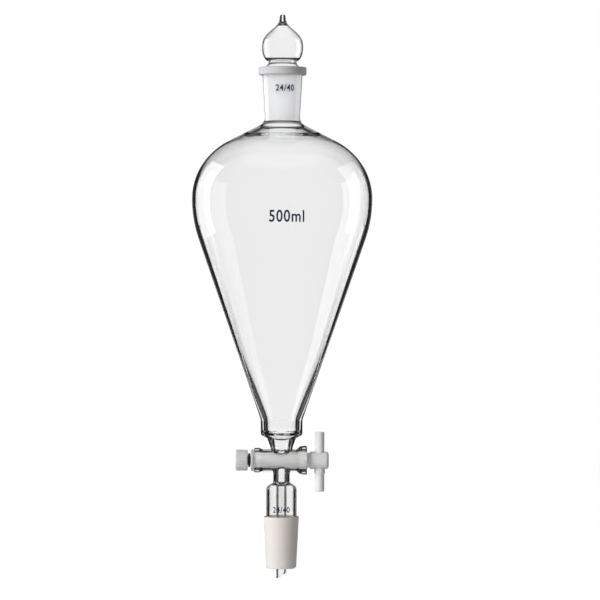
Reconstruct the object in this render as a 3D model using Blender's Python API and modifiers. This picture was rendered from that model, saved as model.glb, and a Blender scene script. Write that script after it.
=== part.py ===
"""A dropping funnel: a pear-shaped glass vessel with a ground stopper, a stopcock and a ground cone.

Metres, +Z up. The origin lies on the glass axis at the wide end of the ground cone.
The stopcock lies along X, with its handle on the +X side and its tension nut on the -X side.
"""

import math

import bmesh
import bpy
from mathutils import Vector

MM = 0.001

# Round pieces
SIDES = 32                      # sides of each turned piece of glass
SMALL_SIDES = 24                # sides of the stopcock's pieces
SEAL = 0.2 * MM                 # seam left between two pieces of glass that are sealed together
SEAT = 0.3 * MM                 # gap between two pieces that rest on each other
RUNNING = 0.15 * MM             # gap round a piece that turns or slides in another
CUT_PAST = 3.0 * MM             # how far a cutter reaches past what it cuts
EDGE = 0.5 * MM                 # small break on turned edges

# Ground taper joints
JOINT_RADIUS = 12.0 * MM        # wide end of both ground tapers
JOINT_SLOPE = 0.05              # radius lost per length: 1 in 10 on the diameter
CONE_LENGTH = 35.1 * MM
CONE_WALL = 2.0 * MM
CONE_SHOULDER = 0.9 * MM        # height of the step above the cone's wide end
SOCKET_LENGTH = 33.6 * MM
SOCKET_WALL = 1.75 * MM
RIM_WIDTH = 2.75 * MM           # how far the socket's rim stands out from its neck
RIM_HEIGHT = 5.3 * MM

# Sleeve and drip tube below the stopcock
SLEEVE_RADIUS = 10.5 * MM
SLEEVE_WALL = 2.2 * MM
SLEEVE_LENGTH = 18.6 * MM       # from the cone's wide end up to the sleeve's shoulder
SLEEVE_SHOULDER = 6.2 * MM      # height of the shoulder
STEM_RADIUS = 5.6 * MM
STEM_LENGTH = 14.2 * MM         # from the top of the sleeve's shoulder up to the stopcock's axis
STEM_FLARE = 1.0 * MM           # how far the stem spreads where it meets the barrel
DRIP_RADIUS = 3.5 * MM
DRIP_REACH = 42.6 * MM          # how far the tip hangs below the cone's wide end
TIP_SLANT = 31.0                # degrees that the tip is ground away from square
PORT_RADIUS = 2.1 * MM          # bore of the drip tube, the barrel's ports and the plug

# Stopcock barrel
BARREL_WALL = 1.8 * MM
BARREL_NUT_END = 18.9 * MM      # from the glass axis to the barrel's small end
BARREL_HANDLE_END = 17.5 * MM   # from the glass axis to the barrel's wide end
NUT_BEAD = (1.0 * MM, 5.8 * MM)         # how far the bead stands out, and its length
HANDLE_BEAD = (2.4 * MM, 6.9 * MM)

# Collar that joins the barrel to the vessel
COLLAR_RISE = 15.2 * MM         # from the stopcock's axis up to the collar's underside
COLLAR_CHAMFER = 2.2 * MM
COLLAR_BAND = 5.1 * MM
COLLAR_NECK = (9.85 * MM, 7.6 * MM)     # outer radius of its neck under the band and at the barrel
COLLAR_BORE = (5.4 * MM, 4.15 * MM)     # radius of its bore under the band and at the barrel
COLLAR_FLOOR = (1.4 * MM, 3.0 * MM)     # height of its inner shoulder over the underside, at bore and wall

# Vessel
FOOT_RADIUS = 14.3 * MM
FOOT_STRAIGHT = 5.2 * MM
FOOT_FILLET = 8.0 * MM
FOOT_WALL = 4.7 * MM
BELLY_RADIUS = 61.9 * MM
BELLY_HEIGHT = 156.7 * MM       # from the vessel's foot up to its widest ring
BELLY_ARC = 85.3 * MM           # radius of the curve from the widest ring into the cone
SHOULDER_HEIGHT = 56.5 * MM     # from the widest ring up to the socket
SHOULDER_SLOPE = 0.506          # fall per length outward on the straight part of the shoulder
SHOULDER_SHARE = 0.496          # part of the way out to the belly where the straight part ends
NECK_STRAIGHT = 4.4 * MM
NECK_FILLET = 6.4 * MM
NECK_SEAL = 5.0 * MM            # wall of the thick ring where the neck is sealed to the shoulder
SEAL_REACH = (22.5 * MM, 28.5 * MM)     # radius where that ring starts to thin out, and where it ends
SHOULDER_WALL = 1.5 * MM
VESSEL_WALL = 2.1 * MM
WALL_GROWTH = 52.0 * MM         # height over which the wall thickens toward the foot

# Stopper
STOPPER_DEPTH = 31.0 * MM       # length of its cone in the socket
STOPPER_WALL = 1.5 * MM
STOPPER_FLOOR = 2.2 * MM
STOPPER_VENT = 1.2 * MM
WAIST_HEIGHT = 3.9 * MM         # from the rim up to the waist
WAIST_RADIUS = 9.45 * MM
HEAD_RADIUS = 14.1 * MM
HEAD_HEIGHT = 14.0 * MM         # from the rim up to the head's widest ring
NIB_BASE = (3.2 * MM, 29.8 * MM)        # radius, and height above the rim
NIB_TOP = (1.6 * MM, 36.0 * MM)

# Plug, handle and nut
PLUG_RADIUS = 5.6 * MM          # at the glass axis
PLUG_SLOPE = 0.025              # radius lost per length toward the nut
PLUG_RECESS = 0.8 * MM          # how far the plug's small end stops inside the barrel
HUB_RADIUS = 6.0 * MM
HUB_LENGTH = 13.0 * MM
HUB_GROOVE = (1.6 * MM, 0.9 * MM)       # width and depth of the groove beside the barrel
HUB_ROUND = 1.4 * MM
BAR_RADIUS = 3.2 * MM
BAR_UP = 19.5 * MM              # from the stopcock's axis to the bar's upper end
BAR_DOWN = 21.4 * MM
BAR_SETBACK = 6.2 * MM          # from the bar's axis to the hub's free end
BAR_COLLAR = (3.7 * MM, 2.8 * MM)      # radius and length of the collar under the hub
TAIL_RADIUS = 3.0 * MM
TAIL_FLAT = 0.6 * MM            # how deep the flat is cut that keeps the washer from turning
WASHER_RADIUS = 7.3 * MM
WASHER_THICKNESS = 1.8 * MM
RING_RADIUS = 0.85 * MM         # section of the rubber ring
NUT_RADIUS = 7.2 * MM
NUT_LENGTH = 8.3 * MM
NUT_FLUTE = 0.25 * MM
FLUTES = 20
PITCH = 1.5 * MM
THREAD_DEPTH = 0.6 * MM
THREAD_GAP = 0.25 * MM
THREAD_SIDES = 20

# Heights and places that follow from the sizes above
STEM_FOOT = SLEEVE_LENGTH + SLEEVE_SHOULDER
STOPCOCK_HEIGHT = STEM_FOOT + STEM_LENGTH
COLLAR_UNDER = STOPCOCK_HEIGHT + COLLAR_RISE
COLLAR_TOP = COLLAR_UNDER + COLLAR_CHAMFER + COLLAR_BAND
VESSEL_FOOT = COLLAR_TOP + SEAL
BELLY_Z = VESSEL_FOOT + BELLY_HEIGHT
VESSEL_TOP = BELLY_Z + SHOULDER_HEIGHT
SOCKET_FOOT = VESSEL_TOP + SEAL
RIM_TOP = SOCKET_FOOT + SOCKET_LENGTH
SOCKET_END_BORE = JOINT_RADIUS - SOCKET_LENGTH * JOINT_SLOPE
NECK_RADIUS = SOCKET_END_BORE + SOCKET_WALL
CONE_END = JOINT_RADIUS - CONE_LENGTH * JOINT_SLOPE
BARREL_RADIUS = PLUG_RADIUS + RUNNING + BARREL_WALL
WASHER_FACE = -BARREL_NUT_END - SEAT
RING_MIDDLE = WASHER_FACE - WASHER_THICKNESS - SEAT - RING_RADIUS
NUT_FACE = RING_MIDDLE - RING_RADIUS - SEAT
TAIL_END = NUT_FACE - NUT_LENGTH + EDGE
HUB_END = BARREL_HANDLE_END + SEAT + HUB_GROOVE[0] + HUB_LENGTH
BAR_X = HUB_END - BAR_SETBACK


def clear_scene():
    for obj in list(bpy.data.objects):
        bpy.data.objects.remove(obj, do_unlink=True)
    for group in list(bpy.data.collections):
        bpy.data.collections.remove(group)


def new_collection(name):
    group = bpy.data.collections.new(name)
    bpy.context.scene.collection.children.link(group)
    return group


def material(name, colour, roughness, transmission=0.0):
    made = bpy.data.materials.new(name)
    made.use_nodes = True
    shader = made.node_tree.nodes["Principled BSDF"]
    shader.inputs["Base Color"].default_value = (*colour, 1.0)
    shader.inputs["Roughness"].default_value = roughness
    shader.inputs["Transmission Weight"].default_value = transmission
    shader.inputs["IOR"].default_value = 1.47 if transmission else 1.38
    return made


def curve(start, pull_start, pull_end, end, steps):
    """Points of a cubic curve, without its start."""
    points = []
    for i in range(1, steps + 1):
        t = i / steps
        weights = ((1 - t) ** 3, 3 * (1 - t) ** 2 * t, 3 * (1 - t) * t * t, t ** 3)
        ends = (start, pull_start, pull_end, end)
        points.append(tuple(sum(w * p[axis] for w, p in zip(weights, ends)) for axis in (0, 1)))
    return points


def fillet(before, corner, after, radius, steps):
    """Points of the arc that rounds a corner, from the first line to the second."""
    corner = Vector(corner)
    back = (Vector(before) - corner).normalized()
    ahead = (Vector(after) - corner).normalized()
    half = back.angle(ahead) / 2
    reach = min(radius / math.tan(half), (Vector(before) - corner).length, (Vector(after) - corner).length)
    middle = corner + (back + ahead).normalized() * reach / math.cos(half)
    first = corner + back * reach - middle
    last = corner + ahead * reach - middle
    ways = [first.normalized().slerp(last.normalized(), i / steps) for i in range(steps + 1)]
    return [tuple(middle + way * first.length) for way in ways]


def turned(name, profile, sides, group, look, closed=True):
    """Turns a profile of (radius, height) points, which runs down its outer side, round its own Z axis."""
    mesh = bpy.data.meshes.new(name)
    edges = [(i, i + 1) for i in range(len(profile) - 1)]
    if closed:
        edges.append((len(profile) - 1, 0))
    mesh.from_pydata([(r, 0.0, z) for r, z in profile], edges, [])
    obj = bpy.data.objects.new(name, mesh)
    group.objects.link(obj)
    screw = obj.modifiers.new("turn", "SCREW")
    screw.axis = "Z"
    screw.angle = math.tau
    screw.steps = screw.render_steps = sides
    screw.use_merge_vertices = True
    screw.merge_threshold = 0.00001
    screw.use_smooth_shade = True
    if look:
        mesh.materials.append(look)
    else:
        as_cutter(obj)
    return obj


def solid(name, bm, group, look):
    """A mesh object from a finished bmesh."""
    bmesh.ops.recalc_face_normals(bm, faces=bm.faces)
    mesh = bpy.data.meshes.new(name)
    bm.to_mesh(mesh)
    bm.free()
    obj = bpy.data.objects.new(name, mesh)
    group.objects.link(obj)
    if look:
        mesh.materials.append(look)
    else:
        as_cutter(obj)
    return obj


def as_cutter(obj):
    obj.hide_render = True
    obj.display_type = "WIRE"


def along_x(obj, x=0.0, z=STOPCOCK_HEIGHT):
    """Lays a turned piece on the stopcock's axis, with its own +Z toward the handle."""
    obj.location = (x, 0.0, z)
    obj.rotation_euler = (0.0, math.pi / 2, 0.0)
    return obj


def cut(obj, cutter, operation="DIFFERENCE"):
    step = obj.modifiers.new(cutter.name, "BOOLEAN")
    step.operation = operation
    step.solver = "EXACT"
    step.object = cutter


def rod(name, radius, low, high, sides, group, look=None):
    profile = [(0.0, high), (radius, high), (radius, low), (0.0, low)]
    return turned(name, profile, sides, group, look, closed=False)


def vessel_outline():
    """The vessel's outer side as (radius, height, wall) points from its neck down to its foot."""
    neck_wall = NECK_RADIUS - SOCKET_END_BORE
    top = (NECK_RADIUS, VESSEL_TOP)
    corner = (NECK_RADIUS, VESSEL_TOP - NECK_STRAIGHT)
    out = NECK_RADIUS + SHOULDER_SHARE * (BELLY_RADIUS - NECK_RADIUS)
    shoulder = (out, corner[1] - (out - NECK_RADIUS) * SHOULDER_SLOPE)
    line = Vector((1.0, -SHOULDER_SLOPE)).normalized() * 0.33 * math.dist(shoulder, (BELLY_RADIUS, BELLY_Z))
    neck = fillet(top, corner, shoulder, NECK_FILLET, 5)
    outline = [(*top, neck_wall)]
    for i, (r, z) in enumerate(neck):
        outline.append((r, z, neck_wall + (NECK_SEAL - neck_wall) * (i / (len(neck) - 1)) ** 2))
    for radius, wall in zip(SEAL_REACH, (NECK_SEAL, SHOULDER_WALL)):
        share = (radius - neck[-1][0]) / (shoulder[0] - neck[-1][0])
        outline.append((*Vector(neck[-1]).lerp(Vector(shoulder), share), wall))
    above_belly = BELLY_Z + 0.458 * (shoulder[1] - BELLY_Z)
    dome = [shoulder] + curve(
        shoulder,
        (shoulder[0] + line.x, shoulder[1] + line.y),
        (BELLY_RADIUS, above_belly),
        (BELLY_RADIUS, BELLY_Z),
        8,
    )
    for i, (r, z) in enumerate(dome):
        outline.append((r, z, SHOULDER_WALL + (VESSEL_WALL - SHOULDER_WALL) * i / (len(dome) - 1)))
    # The straight cone leaves the belly's arc where a line from the foot touches it.
    foot = (FOOT_RADIUS, VESSEL_FOOT + FOOT_STRAIGHT)
    middle = (BELLY_RADIUS - BELLY_ARC, BELLY_Z)
    lean = math.asin(BELLY_ARC / math.dist(foot, middle))
    lean -= math.atan2(foot[0] - middle[0], middle[1] - foot[1])
    for i in range(1, 5):
        turn = lean * i / 4
        radius = middle[0] + BELLY_ARC * math.cos(turn)
        outline.append((radius, middle[1] - BELLY_ARC * math.sin(turn), VESSEL_WALL))
    cone_top = outline[-1][:2]
    thick_from = min(VESSEL_FOOT + WALL_GROWTH, cone_top[1])
    at_growth = (foot[0] + (thick_from - foot[1]) * math.tan(lean), thick_from)
    low = fillet(at_growth, foot, (FOOT_RADIUS, VESSEL_FOOT), FOOT_FILLET, 4)
    for r, z in [at_growth] + low:
        grown = (thick_from - z) / (thick_from - VESSEL_FOOT)
        outline.append((r, z, VESSEL_WALL + (FOOT_WALL - VESSEL_WALL) * grown))
    if outline[-1][1] > VESSEL_FOOT + EDGE:
        outline.append((FOOT_RADIUS, VESSEL_FOOT, FOOT_WALL))
    return outline


def inside_of(outline):
    """The same line one wall further in, measured square to the outer side, from its foot up to its neck."""
    inner = []
    for i, (r, z, wall) in enumerate(outline):
        if i in (0, len(outline) - 1):
            inner.append((r - wall, z))
            continue
        ahead = Vector(outline[i + 1][:2]) - Vector(outline[i - 1][:2])
        square = Vector((-ahead.y, ahead.x)).normalized()
        inner.append((r - square.x * wall, z - square.y * wall))
    return inner[::-1]


def make_vessel(group, look):
    outline = vessel_outline()
    return turned("pear_vessel", [p[:2] for p in outline] + inside_of(outline), SIDES, group, look)


def make_socket(group, look):
    neck_top = JOINT_RADIUS + SOCKET_WALL
    rim = neck_top + RIM_WIDTH
    under = RIM_TOP - RIM_HEIGHT
    profile = [
        (JOINT_RADIUS + EDGE, RIM_TOP),
        (rim - EDGE, RIM_TOP),
        (rim, RIM_TOP - EDGE),
        (rim, under + EDGE),
        (rim - EDGE, under),
        (neck_top, under - EDGE),
        (NECK_RADIUS, SOCKET_FOOT),
        (SOCKET_END_BORE, SOCKET_FOOT),
        (JOINT_RADIUS - EDGE * JOINT_SLOPE, RIM_TOP - EDGE),
    ]
    return turned("socket_joint", profile, SIDES, group, look)


def make_stopper(group, look):
    """Hollow blown stopper. Its own origin is at the middle of the socket's rim."""
    wide = JOINT_RADIUS - RUNNING
    end = wide - STOPPER_DEPTH * JOINT_SLOPE
    waist = (WAIST_RADIUS, WAIST_HEIGHT)
    head = (HEAD_RADIUS, HEAD_HEIGHT)
    crown = (0.575 * HEAD_RADIUS, HEAD_HEIGHT + 0.715 * (NIB_BASE[1] - HEAD_HEIGHT))
    rise = NIB_BASE[1] - crown[1]
    drop = head[1] - waist[1]
    outer = [
        (0.0, NIB_TOP[1]),
        (NIB_TOP[0] * 0.75, NIB_TOP[1] - 0.4 * EDGE),
        (NIB_TOP[0], NIB_TOP[1] - EDGE),
        NIB_BASE,
    ]
    outer += curve(
        NIB_BASE,
        (NIB_BASE[0] * 1.47, NIB_BASE[1] - 0.38 * rise),
        (crown[0] * 0.75, crown[1] + 0.38 * rise),
        crown,
        4,
    )
    outer += curve(
        crown,
        (crown[0] * 1.4, crown[1] - 0.6 * rise),
        (head[0], head[1] + 0.52 * (crown[1] - head[1])),
        head,
        6,
    )
    outer += curve(
        head,
        (head[0], head[1] - 0.53 * drop),
        (waist[0] * 1.32, waist[1] + 0.11 * drop),
        waist,
        5,
    )
    outer += curve(waist, (waist[0], waist[1] * 0.64), (wide * 0.925, waist[1] * 0.28), (wide, 0.0), 3)
    outer += [(end, EDGE - STOPPER_DEPTH), (end - EDGE, -STOPPER_DEPTH), (STOPPER_VENT, -STOPPER_DEPTH)]
    floor = STOPPER_FLOOR - STOPPER_DEPTH
    wall = STOPPER_WALL
    inner = [
        (STOPPER_VENT, floor),
        (end - 2 * wall, floor),
        (end - wall, floor + wall),
        (wide - wall, -EDGE),
        (waist[0] - wall, waist[1]),
        (0.86 * (head[0] - wall), waist[1] + 0.22 * drop),
        (0.97 * (head[0] - wall), waist[1] + 0.55 * drop),
        (head[0] - wall, head[1]),
        (0.86 * (head[0] - wall), head[1] + 0.6 * (crown[1] - head[1])),
        (crown[0] - wall, crown[1] - 0.5 * wall),
        (0.5 * NIB_BASE[0], NIB_BASE[1] - 0.35 * rise),
        (0.0, NIB_BASE[1] + 0.4 * rise),
    ]
    obj = turned("stopper", outer + inner, SIDES, group, look, closed=False)
    obj.location = (0.0, 0.0, RIM_TOP)
    return obj


def make_collar(group, look, barrel_space):
    inside = FOOT_RADIUS - FOOT_WALL
    low = STOPCOCK_HEIGHT + 0.5 * BARREL_RADIUS
    at_barrel = STOPCOCK_HEIGHT + BARREL_RADIUS + SEAL
    tuck = 0.85 * COLLAR_NECK[1]
    profile = [
        (FOOT_RADIUS, COLLAR_TOP),
        (FOOT_RADIUS, COLLAR_UNDER + COLLAR_CHAMFER),
        (COLLAR_NECK[0], COLLAR_UNDER),
        (COLLAR_NECK[1], at_barrel + 2 * EDGE),
        (tuck, low),
        (COLLAR_BORE[1], low),
        (COLLAR_BORE[1], at_barrel),
        (COLLAR_BORE[0], COLLAR_UNDER + COLLAR_FLOOR[0]),
        (0.92 * inside, COLLAR_UNDER + COLLAR_FLOOR[1]),
        (inside, COLLAR_TOP),
    ]
    obj = turned("vessel_collar", profile, SIDES, group, look)
    cut(obj, barrel_space)
    return obj


def make_barrel(group, look, ports):
    """Its profile runs from the wide handle end to the nut end, with a bead on each end."""

    def bore(x):
        return PLUG_RADIUS + RUNNING + x * PLUG_SLOPE

    high, low = BARREL_HANDLE_END, -BARREL_NUT_END
    big, big_length = HANDLE_BEAD
    small, small_length = NUT_BEAD
    profile = [
        (bore(high), high),
        (BARREL_RADIUS + big - 2 * EDGE, high),
        (BARREL_RADIUS + big, high - 2 * EDGE),
        (BARREL_RADIUS + 0.9 * big, high - 0.55 * big_length),
        (BARREL_RADIUS + 0.35 * big, high - 0.85 * big_length),
        (BARREL_RADIUS, high - big_length),
        (BARREL_RADIUS, low + small_length),
        (BARREL_RADIUS + 0.8 * small, low + 0.7 * small_length),
        (BARREL_RADIUS + small, low + 0.35 * small_length),
        (BARREL_RADIUS + 0.6 * small, low + EDGE),
        (BARREL_RADIUS + 0.6 * small - EDGE, low),
        (bore(low), low),
    ]
    obj = along_x(turned("stopcock_barrel", profile, SIDES, group, look))
    cut(obj, ports)
    return obj


def make_stem(group, look, barrel_space):
    high = STOPCOCK_HEIGHT - 0.5 * BARREL_RADIUS
    low = STEM_FOOT + SEAL
    under = STOPCOCK_HEIGHT - BARREL_RADIUS
    spread = min(STEM_RADIUS + STEM_FLARE, 0.84 * BARREL_RADIUS)
    profile = [
        (spread, high),
        (spread, under),
        (STEM_RADIUS + 0.3 * STEM_FLARE, under - STEM_FLARE),
        (STEM_RADIUS, under - 2.5 * STEM_FLARE),
        (STEM_RADIUS, low),
        (PORT_RADIUS, low),
        (PORT_RADIUS, high),
    ]
    obj = turned("stopcock_stem", profile, SIDES, group, look)
    cut(obj, barrel_space)
    return obj


def make_drip_tube(group, look, cutters):
    low = -DRIP_REACH
    profile = [(DRIP_RADIUS, STEM_FOOT), (DRIP_RADIUS, low), (PORT_RADIUS, low), (PORT_RADIUS, STEM_FOOT)]
    obj = turned("drip_tube", profile, SMALL_SIDES, group, look)
    # The block below the slanted face is turned about the tip's lowest point, on the nut side.
    size = 8 * DRIP_RADIUS
    bm = bmesh.new()
    bmesh.ops.create_cube(bm, size=size)
    bmesh.ops.translate(bm, verts=bm.verts, vec=(0.4 * size, 0.0, -0.5 * size))
    slant = solid("tip_slant", bm, cutters, None)
    slant.location = (-DRIP_RADIUS, 0.0, low + 0.4 * EDGE)
    slant.rotation_euler = (0.0, -math.radians(TIP_SLANT), 0.0)
    cut(obj, slant)
    return obj


def make_cone(group, look):
    """The sleeve round the drip tube and the ground cone below it are one length of glass."""
    top = STEM_FOOT
    seal = DRIP_RADIUS + SEAL
    inner = SLEEVE_RADIUS - SLEEVE_WALL
    spread = SLEEVE_RADIUS - STEM_RADIUS
    profile = [(STEM_RADIUS, top)] + curve(
        (STEM_RADIUS, top),
        (STEM_RADIUS + 0.5 * spread, top - 0.2 * SLEEVE_SHOULDER),
        (SLEEVE_RADIUS, SLEEVE_LENGTH + 0.5 * SLEEVE_SHOULDER),
        (SLEEVE_RADIUS, SLEEVE_LENGTH),
        5,
    )
    profile += [
        (SLEEVE_RADIUS, CONE_SHOULDER),
        (JOINT_RADIUS - EDGE, CONE_SHOULDER * 0.6),
        (JOINT_RADIUS, 0.0),
        (CONE_END, EDGE - CONE_LENGTH),
        (CONE_END - EDGE, -CONE_LENGTH),
        (CONE_END - CONE_WALL, -CONE_LENGTH),
        (inner, 0.0),
        (inner, SLEEVE_LENGTH),
    ]
    under = top - SLEEVE_WALL
    profile += curve(
        (inner, SLEEVE_LENGTH),
        (inner, SLEEVE_LENGTH + 0.5 * (under - SLEEVE_LENGTH)),
        (seal + 0.5 * (inner - seal), under),
        (seal, under),
        4,
    )
    profile.append((seal, top))
    return turned("cone_joint", profile, SIDES, group, look)


def thread(name, radius, low, high, group, look=None):
    """A right-hand screw along its own Z, longer than it has to be. All keep step at the nut's face."""
    start = NUT_FACE - PITCH * (math.ceil((NUT_FACE - low) / PITCH) + 2)
    turns = math.ceil((high - start) / PITCH) + 2
    bm = bmesh.new()
    rows = []
    for i in range(turns * THREAD_SIDES + 1):
        angle = math.tau * i / THREAD_SIDES
        z = start + PITCH * i / THREAD_SIDES
        way = (math.cos(angle), math.sin(angle))
        valley_and_ridge = ((radius - THREAD_DEPTH, z), (radius, z + PITCH / 2))
        rows.append([bm.verts.new((r * way[0], r * way[1], height)) for r, height in valley_and_ridge])
    count = len(rows)
    for i in range(count - 1):
        a, b = rows[i], rows[i + 1]
        bm.faces.new((a[0], b[0], b[1], a[1]))
        if i + THREAD_SIDES + 1 < count:
            above, next_above = rows[i + THREAD_SIDES], rows[i + THREAD_SIDES + 1]
            bm.faces.new((a[1], b[1], next_above[0], above[0]))
    # Each end is a fan to the axis.
    foot = bm.verts.new((0.0, 0.0, start - PITCH))
    loop = [rows[i][0] for i in range(THREAD_SIDES + 1)] + [rows[0][1]]
    for a, b in zip(loop, loop[1:] + loop[:1]):
        bm.faces.new((foot, a, b))
    peak = bm.verts.new((0.0, 0.0, rows[-1][1].co.z + PITCH))
    last = count - 1
    loop = [rows[last - THREAD_SIDES + i][1] for i in range(THREAD_SIDES + 1)] + [rows[last][0]]
    for a, b in zip(loop, loop[1:] + loop[:1]):
        bm.faces.new((peak, a, b))
    return solid(name, bm, group, look)


def make_plug(group, look, cutters, ports):
    """Tapered plug with its hub, its bore and a threaded tail, all along the stopcock's axis."""

    def body(x):
        return PLUG_RADIUS + x * PLUG_SLOPE

    groove, depth = HUB_GROOVE
    wide_end = BARREL_HANDLE_END + SEAT
    small_end = PLUG_RECESS - BARREL_NUT_END
    core = TAIL_RADIUS - 0.8 * THREAD_DEPTH
    profile = [
        (0.0, HUB_END),
        (HUB_RADIUS - HUB_ROUND, HUB_END),
        (HUB_RADIUS - 0.3 * HUB_ROUND, HUB_END - 0.3 * HUB_ROUND),
        (HUB_RADIUS, HUB_END - HUB_ROUND),
        (HUB_RADIUS, wide_end + groove + EDGE),
        (HUB_RADIUS - EDGE, wide_end + groove),
        (HUB_RADIUS - depth, wide_end + groove),
        (HUB_RADIUS - depth, wide_end),
        (body(wide_end), wide_end),
        (body(small_end), small_end),
        (TAIL_RADIUS, small_end),
        (TAIL_RADIUS, NUT_FACE + SEAT + PITCH / 2),
        (core, NUT_FACE + SEAT),
        (core, TAIL_END),
        (0.0, TAIL_END),
    ]
    obj = along_x(turned("stopcock_plug", profile, SMALL_SIDES, group, look, closed=False))
    screw = along_x(thread("tail_thread", TAIL_RADIUS, TAIL_END, NUT_FACE, cutters))
    trim = along_x(rod("thread_length", 2 * TAIL_RADIUS, TAIL_END + EDGE, NUT_FACE, SMALL_SIDES, cutters))
    cut(screw, trim, "INTERSECT")
    cut(obj, screw, "UNION")
    bm = bmesh.new()
    bmesh.ops.create_cube(bm, size=1.0)
    length = small_end - TAIL_END + CUT_PAST
    bmesh.ops.scale(bm, verts=bm.verts, vec=(length, 2 * TAIL_RADIUS, 4 * TAIL_RADIUS))
    flat = solid("tail_flat", bm, cutters, None)
    flat.location = (small_end - SEAL - length / 2, 2 * TAIL_RADIUS - TAIL_FLAT, STOPCOCK_HEIGHT)
    cut(obj, flat)
    cut(obj, ports)
    high = STOPCOCK_HEIGHT + HUB_RADIUS + CUT_PAST
    low = STOPCOCK_HEIGHT - HUB_RADIUS - CUT_PAST
    bar_hole = rod("bar_hole", BAR_RADIUS + RUNNING, low, high, SMALL_SIDES, cutters)
    bar_hole.location.x = BAR_X
    cut(obj, bar_hole)
    return obj


def make_bar(group, look):
    """Handle bar through the hub, with a collar that stops it under the hub."""
    wide, length = BAR_COLLAR
    under = -HUB_RADIUS - RUNNING
    profile = [
        (0.0, BAR_UP),
        (BAR_RADIUS - EDGE, BAR_UP),
        (BAR_RADIUS, BAR_UP - EDGE),
        (BAR_RADIUS, under),
        (wide, under),
        (wide, under - length),
        (BAR_RADIUS, under - length - EDGE),
        (BAR_RADIUS, EDGE - BAR_DOWN),
        (BAR_RADIUS - EDGE, -BAR_DOWN),
        (0.0, -BAR_DOWN),
    ]
    obj = turned("handle_bar", profile, SMALL_SIDES, group, look, closed=False)
    obj.location = (BAR_X, 0.0, STOPCOCK_HEIGHT)
    return obj


def make_washer(group, look):
    """Flat washer whose hole has a straight side, so that it turns with the plug and not with the nut."""
    hole = TAIL_RADIUS + RUNNING
    straight = TAIL_RADIUS - TAIL_FLAT + RUNNING
    open_from = math.acos(straight / hole)
    inner = []
    for i in range(SMALL_SIDES - 5):
        angle = open_from + (math.tau - 2 * open_from) * i / (SMALL_SIDES - 6)
        inner.append((hole * math.cos(angle), hole * math.sin(angle)))
    outer = [
        (WASHER_RADIUS * math.cos(math.tau * i / SIDES), WASHER_RADIUS * math.sin(math.tau * i / SIDES))
        for i in range(SIDES)
    ]
    bm = bmesh.new()
    edges = []
    for ring in (outer, inner):
        verts = [bm.verts.new((WASHER_FACE - WASHER_THICKNESS, y, z)) for y, z in ring]
        edges += [bm.edges.new(pair) for pair in zip(verts, verts[1:] + verts[:1])]
    flat = bmesh.ops.triangle_fill(bm, use_beauty=True, edges=edges)
    faces = [f for f in flat["geom"] if isinstance(f, bmesh.types.BMFace)]
    raised = bmesh.ops.extrude_face_region(bm, geom=faces)
    moved = [v for v in raised["geom"] if isinstance(v, bmesh.types.BMVert)]
    bmesh.ops.translate(bm, verts=moved, vec=(WASHER_THICKNESS, 0.0, 0.0))
    obj = solid("bearing_washer", bm, group, look)
    obj.location.z = STOPCOCK_HEIGHT
    return obj


def make_ring(group, look):
    """Rubber ring on the tail, between the washer and the nut."""
    middle = TAIL_RADIUS + RUNNING + RING_RADIUS
    count = 10
    profile = [
        (
            middle + RING_RADIUS * math.cos(math.tau * i / count),
            -RING_RADIUS * math.sin(math.tau * i / count),
        )
        for i in range(count)
    ]
    return along_x(turned("rubber_ring", profile, SMALL_SIDES, group, look), x=RING_MIDDLE)


def make_nut(group, look, cutters):
    """Round fluted nut, drawn with its own +Z along the stopcock's axis and cut by the tail's thread."""
    low, high = NUT_FACE - NUT_LENGTH, NUT_FACE
    bm = bmesh.new()
    rings = []
    for z, inset in ((low, 2 * EDGE), (low + EDGE, 0.0), (high - EDGE, 0.0), (high, EDGE)):
        ring = []
        for i in range(2 * FLUTES):
            radius = NUT_RADIUS - inset - (NUT_FLUTE if i % 2 and not inset else 0.0)
            angle = math.pi * i / FLUTES
            ring.append(bm.verts.new((radius * math.cos(angle), radius * math.sin(angle), z)))
        rings.append(ring)
    for lower, upper in zip(rings, rings[1:]):
        for i in range(2 * FLUTES):
            j = (i + 1) % (2 * FLUTES)
            bm.faces.new((lower[i], lower[j], upper[j], upper[i]))
    bm.faces.new(rings[0])
    bm.faces.new(rings[-1])
    obj = along_x(solid("tension_nut", bm, group, look))
    screw = along_x(thread("nut_thread", TAIL_RADIUS + THREAD_GAP, low - CUT_PAST, high + CUT_PAST, cutters))
    # The nut's thread starts from a plain hole, so that the tail's own thread has room at its root.
    cut(obj, screw)
    return obj


def hang(obj, parent):
    """Parents a piece and keeps it where it is."""
    bpy.context.view_layer.update()
    obj.parent = parent
    obj.matrix_parent_inverse = parent.matrix_world.inverted()


def joint_empty(name, group, place):
    empty = bpy.data.objects.new(name, None)
    group.objects.link(empty)
    empty.location = place
    empty.empty_display_size = 5 * MM
    return empty


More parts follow.
